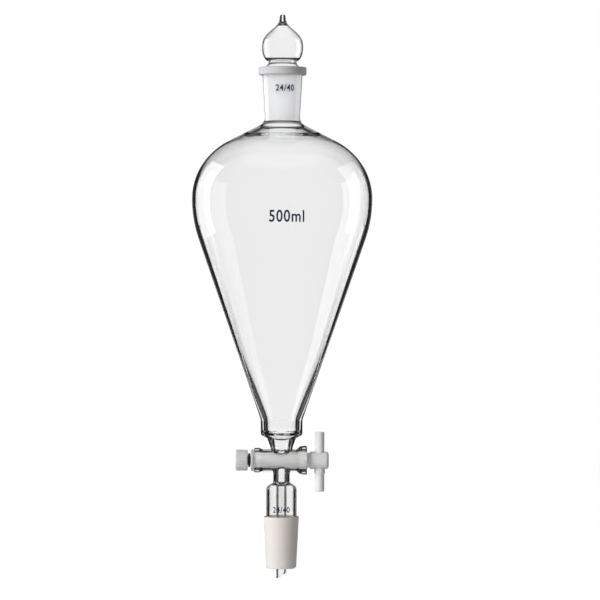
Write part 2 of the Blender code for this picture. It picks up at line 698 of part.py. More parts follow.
def main():
    clear_scene()
    parts = new_collection("dropping_funnel")
    cutters = new_collection("cutters")

    clear = (0.93, 0.95, 0.95)
    ground = (0.90, 0.90, 0.89)
    white = (0.82, 0.82, 0.80)

    barrel_space = along_x(
        rod(
            "barrel_space",
            BARREL_RADIUS + SEAL,
            -BARREL_NUT_END - CUT_PAST,
            BARREL_HANDLE_END + CUT_PAST,
            SIDES,
            cutters,
        )
    )
    reach = BARREL_RADIUS + CUT_PAST
    ports = rod("ports", PORT_RADIUS, STOPCOCK_HEIGHT - reach, STOPCOCK_HEIGHT + reach, SMALL_SIDES, cutters)

    make_socket(parts, material("socket_glass", ground, 0.5, 0.6))
    make_vessel(parts, material("vessel_glass", clear, 0.02, 1.0))
    make_collar(parts, material("collar_glass", clear, 0.02, 1.0), barrel_space)
    make_barrel(parts, material("barrel_glass", clear, 0.02, 1.0), ports)
    make_stem(parts, material("stem_glass", clear, 0.02, 1.0), barrel_space)
    make_drip_tube(parts, material("drip_glass", clear, 0.02, 1.0), cutters)
    make_cone(parts, material("cone_glass", ground, 0.5, 0.6))
    make_stopper(parts, material("stopper_glass", clear, 0.05, 0.9))

    plug_turn = joint_empty("plug_turn", parts, (0.0, 0.0, STOPCOCK_HEIGHT))
    nut_travel = joint_empty("nut_travel", parts, (RING_MIDDLE, 0.0, STOPCOCK_HEIGHT))
    nut_turn = joint_empty("nut_turn", parts, (NUT_FACE, 0.0, STOPCOCK_HEIGHT))
    plug = make_plug(parts, material("plug_plastic", white, 0.45), cutters, ports)
    bar = make_bar(parts, material("bar_plastic", white, 0.45))
    washer = make_washer(parts, material("washer_plastic", white, 0.5))
    ring = make_ring(parts, material("ring_rubber", (0.02, 0.02, 0.02), 0.6))
    nut = make_nut(parts, material("nut_plastic", white, 0.5), cutters)
    for piece in (plug, bar, washer, nut_travel):
        hang(piece, plug_turn)
    for piece in (ring, nut_turn):
        hang(piece, nut_travel)
    hang(nut, nut_turn)
    bpy.context.view_layer.update()


main()
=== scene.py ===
# %% [markdown]
# # A dropping funnel in clear glass
#
# A dropping funnel holds a liquid above a flask and lets it fall drop by drop. The pear-shaped vessel
# carries a ground stopper on top, a stopcock with a white plastic plug below it, and a ground cone with a
# drip tip that seats in the flask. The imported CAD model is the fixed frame: it gives every size and place,
# and the pieces made here are the fine surfaces that stand for its nodes and ride on its bodies.

# %% Load the frame
import math

import bmesh
import bpy
from mathutils import Matrix, Vector


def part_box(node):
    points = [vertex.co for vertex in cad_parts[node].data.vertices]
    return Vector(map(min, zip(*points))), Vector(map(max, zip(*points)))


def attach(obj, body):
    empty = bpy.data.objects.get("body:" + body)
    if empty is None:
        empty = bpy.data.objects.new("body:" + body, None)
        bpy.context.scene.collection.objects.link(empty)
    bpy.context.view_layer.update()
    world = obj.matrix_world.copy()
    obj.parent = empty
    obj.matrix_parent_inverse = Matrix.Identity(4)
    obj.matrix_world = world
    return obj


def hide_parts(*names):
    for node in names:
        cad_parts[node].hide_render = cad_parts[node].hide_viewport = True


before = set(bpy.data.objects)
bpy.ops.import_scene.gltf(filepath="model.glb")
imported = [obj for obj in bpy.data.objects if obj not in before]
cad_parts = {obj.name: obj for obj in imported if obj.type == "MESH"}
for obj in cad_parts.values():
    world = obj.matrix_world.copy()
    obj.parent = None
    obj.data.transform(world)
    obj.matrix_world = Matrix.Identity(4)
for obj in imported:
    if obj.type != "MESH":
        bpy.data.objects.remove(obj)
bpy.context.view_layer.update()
print("nodes:", ", ".join(sorted(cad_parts)))

# %% [markdown]
# ## Sizes from the frame
#
# A glassblower works to a drawing in millimetres, and so does this file. Each main size is read from the
# box of the CAD node that has it, so a change in the CAD model reaches the fine pieces too. What a box
# can't tell, such as a wall or the radius of a bend, is a named value next to the piece that uses it.

# %% Measure the nodes in millimetres
MM = 0.001


def span(node, axis):
    """Lowest and highest coordinate of a CAD node along one axis, in millimetres."""
    low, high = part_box(node)
    return low["xyz".index(axis)] / MM, high["xyz".index(axis)] / MM


def reach(node, axis="y"):
    """Half the width of a round node, in millimetres."""
    low, high = span(node, axis)
    return (high - low) / 2


SOCKET_FOOT, RIM_TOP = span("socket_joint", "z")
RIM_RADIUS = reach("socket_joint")
VESSEL_FOOT, VESSEL_TOP = span("pear_vessel", "z")
BELLY_RADIUS = reach("pear_vessel")
COLLAR_RADIUS = reach("vessel_collar")
NUT_END, HANDLE_END = span("stopcock_barrel", "x")
STOPCOCK_Z = sum(span("stopcock_barrel", "z")) / 2
CONE_FOOT, SLEEVE_TOP = span("cone_joint", "z")
CONE_RADIUS = reach("cone_joint")
TIP_Z = span("drip_tube", "z")[0]
DRIP_RADIUS = reach("drip_tube")
print(f"rim {2 * RIM_RADIUS:.1f} mm, belly {2 * BELLY_RADIUS:.1f} mm, cone {2 * CONE_RADIUS:.1f} mm across")
print(f"stopcock axis {STOPCOCK_Z:.1f} mm above the cone's wide end, rim at {RIM_TOP:.1f} mm")

# %% [markdown]
# ## Turning a profile
#
# Nearly every piece here is round, made on a glass lathe or a turning lathe. A profile of (radius, height)
# points that is spun round an axis is the same idea in Blender. Bends are drawn as cubic curves or as arcs
# in a corner, with enough points that light bends through the glass without showing facets.

# %% Helpers for profiles
def curve(start, pull_start, pull_end, end, steps):
    """Points of a cubic curve, without its start."""
    points = []
    for i in range(1, steps + 1):
        t = i / steps
        weights = ((1 - t) ** 3, 3 * (1 - t) ** 2 * t, 3 * (1 - t) * t * t, t ** 3)
        ends = (start, pull_start, pull_end, end)
        points.append(tuple(sum(w * p[axis] for w, p in zip(weights, ends)) for axis in (0, 1)))
    return points


def corner(before, point, after, radius, steps=6):
    """Points of the arc that rounds one corner of a profile."""
    point, before, after = Vector(point), Vector(before), Vector(after)
    back, ahead = (before - point).normalized(), (after - point).normalized()
    half = back.angle(ahead) / 2
    along = min(radius / math.tan(half), 0.98 * (before - point).length, 0.98 * (after - point).length)
    middle = point + (back + ahead).normalized() * along / math.cos(half)
    first, last = point + back * along - middle, point + ahead * along - middle
    ways = [first.normalized().slerp(last.normalized(), i / steps) for i in range(steps + 1)]
    return [tuple(middle + way * first.length) for way in ways]


def softened(points, radii, steps=6):
    """A profile whose inner points are rounded, each with its own radius (0 keeps it sharp)."""
    line = [points[0]]
    for i in range(1, len(points) - 1):
        if radii[i]:
            line += corner(points[i - 1], points[i], points[i + 1], radii[i], steps)
        else:
            line.append(points[i])
    return line + [points[-1]]


def refine(line, longest):
    """Adds points so that no step of a profile is longer than a given length."""
    fine = [line[0]]
    for a, b in zip(line, line[1:]):
        parts = max(1, math.ceil(math.dist(a, b) / longest))
        for i in range(1, parts + 1):
            fine.append((a[0] + (b[0] - a[0]) * i / parts, a[1] + (b[1] - a[1]) * i / parts))
    return fine


# %% Helpers for turned meshes
def show(name, bm):
    """A mesh object from a finished bmesh in millimetres."""
    bmesh.ops.remove_doubles(bm, verts=bm.verts, dist=0.001)
    bmesh.ops.recalc_face_normals(bm, faces=bm.faces)
    bmesh.ops.scale(bm, verts=bm.verts, vec=(MM, MM, MM))
    mesh = bpy.data.meshes.new(name)
    bm.to_mesh(mesh)
    bm.free()
    obj = bpy.data.objects.new(name, mesh)
    bpy.context.scene.collection.objects.link(obj)
    return obj


def turned(name, profile, sides, closed=True, axis="z", place=(0.0, 0.0, 0.0)):
    """Spins a profile of (radius, height) points; axis x lays it along the stopcock."""
    bm = bmesh.new()
    line = [bm.verts.new((r, 0.0, h)) for r, h in profile]
    edges = [bm.edges.new(pair) for pair in zip(line, line[1:] + (line[:1] if closed else []))]
    bmesh.ops.spin(
        bm, geom=line + edges, cent=(0, 0, 0), axis=(0, 0, 1), angle=math.tau, steps=sides, use_merge=True
    )
    if axis == "x":
        bmesh.ops.rotate(bm, verts=bm.verts, cent=(0, 0, 0), matrix=Matrix.Rotation(math.pi / 2, 3, "Y"))
    bmesh.ops.translate(bm, verts=bm.verts, vec=place)
    return show(name, bm)


def combine(base, tool, how):
    """Joins two closed meshes into one, or cuts one out of the other, and removes the second."""
    step = base.modifiers.new("combine", "BOOLEAN")
    step.operation, step.solver, step.object = how, "EXACT", tool
    ready = base.evaluated_get(bpy.context.evaluated_depsgraph_get())
    made = bpy.data.meshes.new_from_object(ready)
    base.modifiers.clear()
    base.data = made
    bpy.data.objects.remove(tool, do_unlink=True)


def finish_shading(obj, angle=40.0):
    """Smooth faces with a crease only where two faces meet at more than the angle."""
    obj.data.shade_smooth()
    obj.data.set_sharp_from_angle(angle=math.radians(angle))
    print(f"{obj.name}: {len(obj.data.vertices)} points, {len(obj.data.polygons)} faces")


# %% [markdown]
# ## The vessel's line
#
# The vessel is blown from a tube and drawn out below into a thick foot. Its outer line runs from the neck
# over a straight shoulder and a round belly into a long cone. The inner line is the same line moved in by
# the wall, square to the surface, because a blown wall is even; it thickens toward the foot where more
# glass was gathered.

# %% Outer and inner line of the vessel
GLASS_SIDES = 144
SOCKET_BORE = (12.0, 10.32)     # radius of the ground socket at the rim and at its foot
NECK_WALL = 1.75
NECK_STRAIGHT = 4.4
NECK_FILLET = 6.4
NECK_SEAL = 4.2                 # wall of the thick ring where the neck is sealed to the shoulder
SEAL_REACH = (25.0, 27.0)       # radius where that ring starts to thin out, and where it ends
SHOULDER_WALL = 1.1
SHOULDER_SLOPE = 0.506
SHOULDER_SHARE = 0.496          # part of the way from neck to belly that is straight
DOME_PULLS = (0.33, 0.458)      # how far the dome's curve follows the shoulder, and the belly's side
BELLY_HEIGHT = 156.7
BELLY_ARC = 85.3                # radius of the bend from the belly into the long cone
BELLY_STEPS = 16
FOOT_STRAIGHT = 5.2
FOOT_FILLET = 8.0
VESSEL_WALL = 2.4
FOOT_WALL = 4.7
WALL_GROWTH = 52.0              # height above the foot where the wall starts to thicken
NECK_RADIUS = SOCKET_BORE[1] + NECK_WALL
BELLY_Z = VESSEL_FOOT + BELLY_HEIGHT


def vessel_outer_line():
    """(radius, height, wall) points from the neck down to the foot."""
    top, bend = (NECK_RADIUS, VESSEL_TOP), (NECK_RADIUS, VESSEL_TOP - NECK_STRAIGHT)
    out = NECK_RADIUS + SHOULDER_SHARE * (BELLY_RADIUS - NECK_RADIUS)
    shoulder = (out, bend[1] - (out - NECK_RADIUS) * SHOULDER_SLOPE)
    pull = Vector((1.0, -SHOULDER_SLOPE)).normalized() * DOME_PULLS[0]
    pull *= math.dist(shoulder, (BELLY_RADIUS, BELLY_Z))
    line = []
    bent = corner(top, bend, shoulder, NECK_FILLET, 12)
    for i, point in enumerate(bent):
        line.append((*point, NECK_WALL + (NECK_SEAL - NECK_WALL) * (i / (len(bent) - 1)) ** 2))
    for point in refine([bent[-1], shoulder], 0.4)[1:]:
        part = min(max((point[0] - SEAL_REACH[0]) / (SEAL_REACH[1] - SEAL_REACH[0]), 0.0), 1.0)
        line.append((*point, NECK_SEAL + (SHOULDER_WALL - NECK_SEAL) * part * part * (3.0 - 2.0 * part)))
    above = (BELLY_RADIUS, BELLY_Z + DOME_PULLS[1] * (shoulder[1] - BELLY_Z))
    dome = curve(shoulder, (shoulder[0] + pull.x, shoulder[1] + pull.y), above, (BELLY_RADIUS, BELLY_Z), 40)
    for i, point in enumerate(dome):
        line.append((*point, SHOULDER_WALL + (VESSEL_WALL - SHOULDER_WALL) * (i + 1) / len(dome)))
    foot, middle = (COLLAR_RADIUS, VESSEL_FOOT + FOOT_STRAIGHT), (BELLY_RADIUS - BELLY_ARC, BELLY_Z)
    tangent = math.asin(BELLY_ARC / math.dist(foot, middle))
    lean = tangent - math.atan2(foot[0] - middle[0], middle[1] - foot[1])
    for i in range(1, BELLY_STEPS + 1):
        turn = lean * i / BELLY_STEPS
        point = (middle[0] + BELLY_ARC * math.cos(turn), middle[1] - BELLY_ARC * math.sin(turn))
        line.append((*point, VESSEL_WALL))
    low = corner(line[-1][:2], foot, (COLLAR_RADIUS, VESSEL_FOOT), FOOT_FILLET, 10)
    for point in refine([line[-1][:2]] + low, 2.0)[1:]:
        grown = max(0.0, 1.0 - (point[1] - VESSEL_FOOT) / WALL_GROWTH)
        line.append((*point, VESSEL_WALL + (FOOT_WALL - VESSEL_WALL) * grown * grown * (3.0 - 2.0 * grown)))
    return line


def inner_line(outer):
    """The same line one wall further in, square to the outer side, from the foot back up to the neck."""
    inner = []
    for i, (r, h, wall) in enumerate(outer):
        a, b = outer[max(i - 1, 0)], outer[min(i + 1, len(outer) - 1)]
        square = Vector((a[1] - b[1], b[0] - a[0])).normalized()
        inner.append((r - square.x * wall, h - square.y * wall))
    return inner[::-1]


vessel_outer = vessel_outer_line()
vessel_inner = inner_line(vessel_outer)
print(f"vessel: {len(vessel_outer)} points a side, widest {max(p[0] for p in vessel_outer):.1f} mm")

# %% [markdown]
# ## Glass from the rim to the barrel
#
# The ground socket, the vessel and the thick collar are sealed in a flame, and where glass is melted
# together no joint is left to see. A seam between separate meshes would catch the light as a dark ring, so
# the whole length is turned as one closed profile: down the outside from the rim, then back up the inside.

# %% Turn the upper glass
RIM_HEIGHT = 5.3
RIM_ROUND = 0.8
SOCKET_MOUTH = (0.1, 2.0)       # how far the socket's mouth opens, and over what depth
COLLAR_BAND = 5.3               # straight side of the collar under the vessel
COLLAR_UNDER = 54.2             # height where the collar's lower bevel ends
COLLAR_NECK = (9.85, 7.7)       # outer radius under the collar and at the barrel
COLLAR_BORE = (5.4, 4.15)
COLLAR_FLOOR = (55.6, 57.7)     # height of the inner shoulder at the bore and at the vessel's wall
SEAL_LINE = (0.6, 58.8, 0.8)    # ring of the seal inside: how far it stands in, its height, half its length
FOOT_SHARES = (0.92, 0.97, 0.98)    # of the foot's inner radius: at the floor's edge, under and over the ring
BARREL_RADIUS = 7.55
BARREL_OVERLAP = 0.55           # share of the barrel's radius where the tubes that meet it end
BARREL_FLARE = (1.6, 0.6)       # length over which a tube runs into the barrel, and its change of radius
PORT_RADIUS = 2.1

neck_top = SOCKET_BORE[0] + NECK_WALL
rim_under = RIM_TOP - RIM_HEIGHT
rim = softened(
    [
        (SOCKET_BORE[0], RIM_TOP - SOCKET_MOUTH[1]),
        (SOCKET_BORE[0] + SOCKET_MOUTH[0], RIM_TOP),
        (RIM_RADIUS, RIM_TOP),
        (RIM_RADIUS, rim_under),
        (neck_top, rim_under - 0.3),
        (NECK_RADIUS, SOCKET_FOOT),
    ],
    [0, 0.6, RIM_ROUND, RIM_ROUND, 0.9, 0],
)
low_end = STOPCOCK_Z + BARREL_OVERLAP * BARREL_RADIUS
collar = softened(
    [
        vessel_outer[-1][:2],
        (COLLAR_RADIUS, VESSEL_FOOT - COLLAR_BAND),
        (COLLAR_NECK[0], COLLAR_UNDER),
        (COLLAR_NECK[1], STOPCOCK_Z + BARREL_RADIUS + BARREL_FLARE[0]),
        (COLLAR_NECK[1] - BARREL_FLARE[1], low_end),
    ],
    [0, 2.2, 1.2, 3.0, 0],
)
foot_inside = vessel_inner[0]
bore = softened(
    [
        (COLLAR_BORE[1], low_end),
        (COLLAR_BORE[1], STOPCOCK_Z + BARREL_RADIUS),
        (COLLAR_BORE[0], COLLAR_FLOOR[0]),
        (FOOT_SHARES[0] * foot_inside[0], COLLAR_FLOOR[1]),
        (FOOT_SHARES[1] * foot_inside[0], SEAL_LINE[1] - SEAL_LINE[2]),
        (FOOT_SHARES[1] * foot_inside[0] - SEAL_LINE[0], SEAL_LINE[1]),
        (FOOT_SHARES[2] * foot_inside[0], SEAL_LINE[1] + SEAL_LINE[2]),
        foot_inside,
    ],
    [0, 0.5, 0.4, 0.3, 0.3, 0.4, 0.3, 0],
)
socket_bore = refine([(SOCKET_BORE[1], SOCKET_FOOT), (SOCKET_BORE[0], RIM_TOP - SOCKET_MOUTH[1])], 4.0)
upper = rim + [p[:2] for p in vessel_outer[1:]] + collar[1:] + bore + vessel_inner[1:-1] + socket_bore[:-1]
upper = refine(upper, 4.0)
funnel_glass = turned("funnel_glass", upper, GLASS_SIDES)
print(f"upper glass: {len(upper)} points turned {GLASS_SIDES} times")

# %% [markdown]
# ## Stopcock barrel
#
# The barrel is a tapered sleeve laid across the axis, with a thick bead at each end that protects its edge.
# A plain tube with rings on it could stand for it, but the beads flow out of the wall, so the barrel is one
# turned profile like the vessel, laid along the stopcock.

# %% Turn the barrel
TUBE_SIDES = 96
PLUG_FIT = 5.75                 # radius of the barrel's bore at the glass axis
PLUG_TAPER = 0.025
NUT_BEAD = (1.0, 5.8)           # how far the bead stands out, and its length
HANDLE_BEAD = (2.4, 6.9)


def barrel_bore(x):
    """Radius of the tapered bore at a place along the stopcock."""
    return PLUG_FIT + x * PLUG_TAPER


big, big_length = HANDLE_BEAD
small, small_length = NUT_BEAD
barrel_line = softened(
    [
        (barrel_bore(HANDLE_END), HANDLE_END),
        (BARREL_RADIUS + 0.95 * big, HANDLE_END),
        (BARREL_RADIUS + big, HANDLE_END - 0.35 * big_length),
        (BARREL_RADIUS + 0.75 * big, HANDLE_END - 0.75 * big_length),
        (BARREL_RADIUS, HANDLE_END - big_length),
        (BARREL_RADIUS, NUT_END + small_length),
        (BARREL_RADIUS + small, NUT_END + 0.55 * small_length),
        (BARREL_RADIUS + 0.7 * small, NUT_END),
        (barrel_bore(NUT_END), NUT_END),
    ],
    [0, 0.8, 3.0, 3.0, 1.2, 1.0, 3.0, 0.8, 0],
)
barrel_line = refine(barrel_line, 1.5)
barrel_glass = turned("barrel_glass", barrel_line, TUBE_SIDES, axis="x", place=(0.0, 0.0, STOPCOCK_Z))
print(f"barrel: {HANDLE_END - NUT_END:.1f} mm long")

# %% [markdown]
# ## Stem, sleeve and drip tube
#
# Below the barrel the stem opens into the sleeve of the ground cone, and the drip tube hangs inside that
# sleeve from a ring seal. Three tubes could be joined one by one, but all are round on one axis and melted
# together. So one profile runs down the outside, round the end of the cone, up inside the sleeve to the
# seal, and round the drip tube.

# %% Turn the lower glass
STEM_RADIUS = 5.6
SLEEVE_RADIUS = 10.5
SLEEVE_WALL = 2.2
SLEEVE_SHOULDER = 6.2           # height of the round shoulder between stem and sleeve
CONE_END = 10.245               # radius of the ground cone at its narrow end
CONE_WALL = 2.0

sleeve_foot = SLEEVE_TOP - SLEEVE_SHOULDER
sleeve_inside = SLEEVE_RADIUS - SLEEVE_WALL
stem_top = STOPCOCK_Z - BARREL_OVERLAP * BARREL_RADIUS
stem = softened(
    [
        (STEM_RADIUS + BARREL_FLARE[1], stem_top),
        (STEM_RADIUS + BARREL_FLARE[1], STOPCOCK_Z - BARREL_RADIUS + 0.2),
        (STEM_RADIUS, STOPCOCK_Z - BARREL_RADIUS - BARREL_FLARE[0]),
        (STEM_RADIUS, SLEEVE_TOP - 0.3),
    ],
    [0, 0.6, 1.5, 0],
)
shoulder_out = curve(
    stem[-1],
    (STEM_RADIUS, SLEEVE_TOP - 2.4),
    (SLEEVE_RADIUS, sleeve_foot + 0.62 * SLEEVE_SHOULDER),
    (SLEEVE_RADIUS, sleeve_foot),
    16,
)
cone_out = softened(
    [
        (SLEEVE_RADIUS, sleeve_foot),
        (SLEEVE_RADIUS, 0.55),
        (CONE_RADIUS, 0.45),
        (CONE_END, CONE_FOOT),
        (CONE_END - CONE_WALL, CONE_FOOT),
        (sleeve_inside, -2.0),
        (sleeve_inside, sleeve_foot),
    ],
    [0, 0.3, 0.35, 0.5, 0.4, 3.0, 0],
)
ring_seal = SLEEVE_TOP - 2.6
shoulder_in = curve(
    (sleeve_inside, sleeve_foot),
    (sleeve_inside, sleeve_foot + 0.8 * (ring_seal - sleeve_foot)),
    (DRIP_RADIUS + 2.2, ring_seal - 0.2),
    (DRIP_RADIUS + 0.7, ring_seal - 0.7),
    12,
)
drip = [(DRIP_RADIUS, ring_seal - 2.0), (DRIP_RADIUS, TIP_Z), (PORT_RADIUS, TIP_Z), (PORT_RADIUS, stem_top)]
lower = refine(stem + shoulder_out + cone_out[1:] + shoulder_in + drip, 4.0)
lower_glass = turned("lower_glass", lower, TUBE_SIDES)
print(f"lower glass: {len(lower)} points turned {TUBE_SIDES} times")

# %% [markdown]
# ## Joining and drilling the glass
#
# The tip is ground off at a slant, so that a drop hangs from one point. Then the barrel, the lower glass
# and the vessel are melted into one, which a Boolean union does. The room for the plug and the two ports
# are drilled last, as on the bench, because a round hole through a curved wall can't be part of a turned
# profile.

# %% Slant the tip
TIP_SLANT = 31.0                # degrees that the tip is ground away from square
TIP_BLOCK = 26.0                # edge of the block that is cut away
TIP_LIFT = 0.2                  # height of the tip's lowest point above the drip tube's end
block = bmesh.new()
bmesh.ops.create_cube(block, size=TIP_BLOCK)
bmesh.ops.translate(block, verts=block.verts, vec=(0.4 * TIP_BLOCK, 0.0, -0.5 * TIP_BLOCK))
slant = Matrix.Rotation(math.radians(-TIP_SLANT), 3, "Y")
bmesh.ops.rotate(block, verts=block.verts, cent=(0, 0, 0), matrix=slant)
bmesh.ops.translate(block, verts=block.verts, vec=(-DRIP_RADIUS, 0.0, TIP_Z + TIP_LIFT))
combine(lower_glass, show("tip_slant", block), "DIFFERENCE")
print(f"tip ground at {TIP_SLANT:.0f} degrees")

# %% Join the lengths and drill them
PORT_ENDS = (24.0, 58.0)        # heights between which the ports are drilled
PAST_END = 4.0                  # how far the reamer passes the barrel's ends


def rod(name, radius, low, high, x=0.0, sides=48):
    """An upright round bar to cut a hole with."""
    profile = [(0.0, high), (radius, high), (radius, low), (0.0, low)]
    return turned(name, profile, sides, closed=False, place=(x, 0.0, 0.0))


combine(barrel_glass, lower_glass, "UNION")
combine(funnel_glass, barrel_glass, "UNION")
ports = rod("ports", PORT_RADIUS, *PORT_ENDS, sides=64)
plug_way = refine([(barrel_bore(x), x) for x in (HANDLE_END + PAST_END, NUT_END - PAST_END)], 2.0)
plug_way = [(0.0, plug_way[0][1])] + plug_way + [(0.0, plug_way[-1][1])]
plug_room = turned("plug_room", plug_way, TUBE_SIDES, closed=False, axis="x", place=(0.0, 0.0, STOPCOCK_Z))
combine(plug_room, ports, "UNION")
combine(funnel_glass, plug_room, "DIFFERENCE")
finish_shading(funnel_glass)

# %% [markdown]
# ## Stopper
#
# The stopper is blown hollow: a ground cone that fits the socket, a narrow waist, a round head and the nib
# that is left where the glass was pulled off. Its foot has a small vent, as a hollow stopper needs while it
# is made. A solid stopper would be less work, but it would bend the light like a lens, so it gets a true
# wall: the outer line is drawn first, and the inner line follows it one wall further in.

# %% Draw the stopper's outer line
STOPPER_FIT = 0.15              # how much slimmer it is than the socket
JOINT_TAPER = 0.05              # change of radius along a ground joint, per millimetre of height
WAIST = (9.45, 3.9)             # radius, and height above the rim
HEAD_HEIGHT = 14.0
CROWN = (8.1, 25.3)             # where the head's round side passes into the hollow curve under the nib
CROWN_SLOPE = 0.85
NIB_BASE = (3.2, 29.9)
NIB_RADIUS = 1.9

stopper_foot, stopper_top = (z - RIM_TOP for z in span("stopper", "z"))
head = (reach("stopper"), HEAD_HEIGHT)
wide = SOCKET_BORE[0] - STOPPER_FIT
end = wide + JOINT_TAPER * stopper_foot
stopper_outer = [(0.0, stopper_top)] + corner(
    (0.0, stopper_top), (NIB_RADIUS, stopper_top), (NIB_RADIUS * 1.1, stopper_top - 3.0), 0.8
)
stopper_outer += curve(
    stopper_outer[-1],
    (NIB_RADIUS * 1.15, stopper_top - 3.4),
    (NIB_BASE[0] * 0.75, NIB_BASE[1] + 1.2),
    NIB_BASE,
    8,
)
stopper_outer += curve(
    NIB_BASE,
    (NIB_BASE[0] + 1.5, NIB_BASE[1] - 1.7),
    (CROWN[0] - 2.0, CROWN[1] + 2.0 * CROWN_SLOPE),
    CROWN,
    10,
)
stopper_outer += curve(
    CROWN,
    (CROWN[0] + 3.2, CROWN[1] - 3.2 * CROWN_SLOPE),
    (head[0], head[1] + 0.52 * (CROWN[1] - head[1])),
    head,
    18,
)
stopper_outer += curve(head, (head[0], 8.6), (WAIST[0] + 3.2, WAIST[1] + 1.1), WAIST, 18)
stopper_outer += curve(WAIST, (WAIST[0], WAIST[1] - 1.4), (wide - 0.9, 1.1), (wide, 0.0), 10)
print(f"stopper: {stopper_top - stopper_foot:.1f} mm tall, head {2 * head[0]:.1f} mm across")

# %% Follow it inside and turn the stopper
STOPPER_SIDES = 112
STOPPER_WALL = 0.9
STOPPER_FLOOR = 2.2
STOPPER_VENT = 1.2
WAIST_RING = (1.3, 1.8)         # wall at the waist, and how far that ring reaches up and down

wall_line = []
for r, h in stopper_outer:
    near_waist = max(0.0, 1.0 - ((h - WAIST[1]) / WAIST_RING[1]) ** 2)
    wall_line.append((r, h, STOPPER_WALL + (WAIST_RING[0] - STOPPER_WALL) * near_waist))
top_count = next(i for i, p in enumerate(stopper_outer) if p[1] <= NIB_BASE[1] - 0.5)
stopper_inner = inner_line(wall_line[top_count:])
stopper_inner = [(max(r, 0.0), h) for r, h in stopper_inner]
cone_line = softened(
    [
        (wide, 0.0),
        (end, stopper_foot),
        (STOPPER_VENT, stopper_foot),
        (STOPPER_VENT, stopper_foot + STOPPER_FLOOR),
        (end - STOPPER_WALL, stopper_foot + STOPPER_FLOOR),
        (wide - STOPPER_WALL, -1.0),
    ],
    [0, 0.7, 0.3, 0.3, 1.6, 0],
)
stopper_line = stopper_outer[:-1] + cone_line + stopper_inner
stopper_line.append((0.0, stopper_inner[-1][1] + 1.2))
stopper_line = [(r, h + RIM_TOP) for r, h in refine(stopper_line, 3.0)]
stopper_glass = turned("stopper_glass", stopper_line, STOPPER_SIDES, closed=False)
finish_shading(stopper_glass)

# %% [markdown]
# ## Plug
#
# The plug is turned from white fluoropolymer, a waxy plastic that needs no grease. It has a hub for the
# handle at one end and a threaded tail with a flat at the other. The body is a turned profile, and the bore
# and the bar's hole are drilled with a Boolean. A thread could be a separate helix, but here the points of
# the tail, which lie close enough, are simply moved in along a spiral, so that the plug stays one clean
# mesh.

# %% Turn the plug and its hub
PLUG_SIDES = 72
HUB_RADIUS = 6.0
HUB_GROOVE = (1.6, 0.9)         # width and depth of the groove beside the barrel
HUB_ROUND = 2.0
PLUG_RADIUS = 5.6
TAIL_RADIUS = 3.0
TAIL_FLAT = 0.6
PITCH = 1.5
TAIL_BEVEL = 0.5
HUB_GAP = 0.3                   # between the barrel's end and the groove
PLUG_SHORT = 0.8                # how far the taper ends inside the barrel
THREAD_PAST = 0.6               # how far the thread runs on behind the nut

tail_end, hub_end = span("stopcock_plug", "x")
nut_low, nut_high = span("tension_nut", "x")
groove_from = HANDLE_END + HUB_GAP
groove_to = groove_from + HUB_GROOVE[0]
small_end = NUT_END + PLUG_SHORT
thread_start = nut_high + THREAD_PAST
plug_line = softened(
    [
        (0.0, hub_end),
        (HUB_RADIUS, hub_end),
        (HUB_RADIUS, groove_to),
        (HUB_RADIUS - HUB_GROOVE[1], groove_to),
        (HUB_RADIUS - HUB_GROOVE[1], groove_from),
        (PLUG_RADIUS + PLUG_TAPER * groove_from, groove_from),
        (PLUG_RADIUS + PLUG_TAPER * small_end, small_end),
        (TAIL_RADIUS, small_end),
        (TAIL_RADIUS, thread_start),
    ],
    [0, HUB_ROUND, 0.4, 0.25, 0.25, 0.3, 0.5, 0.3, 0],
    5,
)
plug_line += refine([(TAIL_RADIUS, thread_start), (TAIL_RADIUS, tail_end + TAIL_BEVEL)], PITCH / 12)[1:]
plug_line += [(TAIL_RADIUS - TAIL_BEVEL, tail_end), (0.0, tail_end)]
plug_piece = turned("plug_piece", plug_line, PLUG_SIDES, closed=False, axis="x", place=(0.0, 0.0, STOPCOCK_Z))
print(f"plug: {hub_end - tail_end:.1f} mm long")

# %% Drill the plug and wind its thread
RUNNING = 0.15                  # gap round a piece that turns or slides in another
DRILL_REACH = 9.0
BAR_RADIUS = 3.2
THREAD_DEPTH = 0.6

bar_x = sum(span("handle_bar", "x")) / 2
drilled = (STOPCOCK_Z - DRILL_REACH, STOPCOCK_Z + DRILL_REACH)
combine(plug_piece, rod("plug_bore", PORT_RADIUS, *drilled), "DIFFERENCE")
combine(plug_piece, rod("bar_hole", BAR_RADIUS + RUNNING, *drilled, bar_x), "DIFFERENCE")
for point in plug_piece.data.vertices:
    x, y, z = point.co.x / MM, point.co.y / MM, point.co.z / MM - STOPCOCK_Z
    if x < small_end - 0.2 and math.hypot(y, z) > 0.5 * TAIL_RADIUS:
        # A right-hand thread: its valley moves along x as it goes round.
        turn = (x / PITCH + math.atan2(y, z) / math.tau) % 1.0
        valley = THREAD_DEPTH * min(max(1.3 - 3.0 * abs(turn - 0.5), 0.0), 1.0)
        valley *= min(max((thread_start - x) / (0.5 * PITCH), 0.0), 1.0)
        shrunk = min(1.0, (TAIL_RADIUS - valley) / math.hypot(y, z))
        y, z = min(y * shrunk, TAIL_RADIUS - TAIL_FLAT), z * shrunk
        point.co.y, point.co.z = y * MM, (z + STOPCOCK_Z) * MM
finish_shading(plug_piece)

# %% [markdown]
# ## Handle bar
#
# A round bar through the hub turns the plug, and shows which way its bore points. It could be a plain
# cylinder, but a real bar has softened ends and a small collar under the hub that keeps it in place, so it
# is turned too.

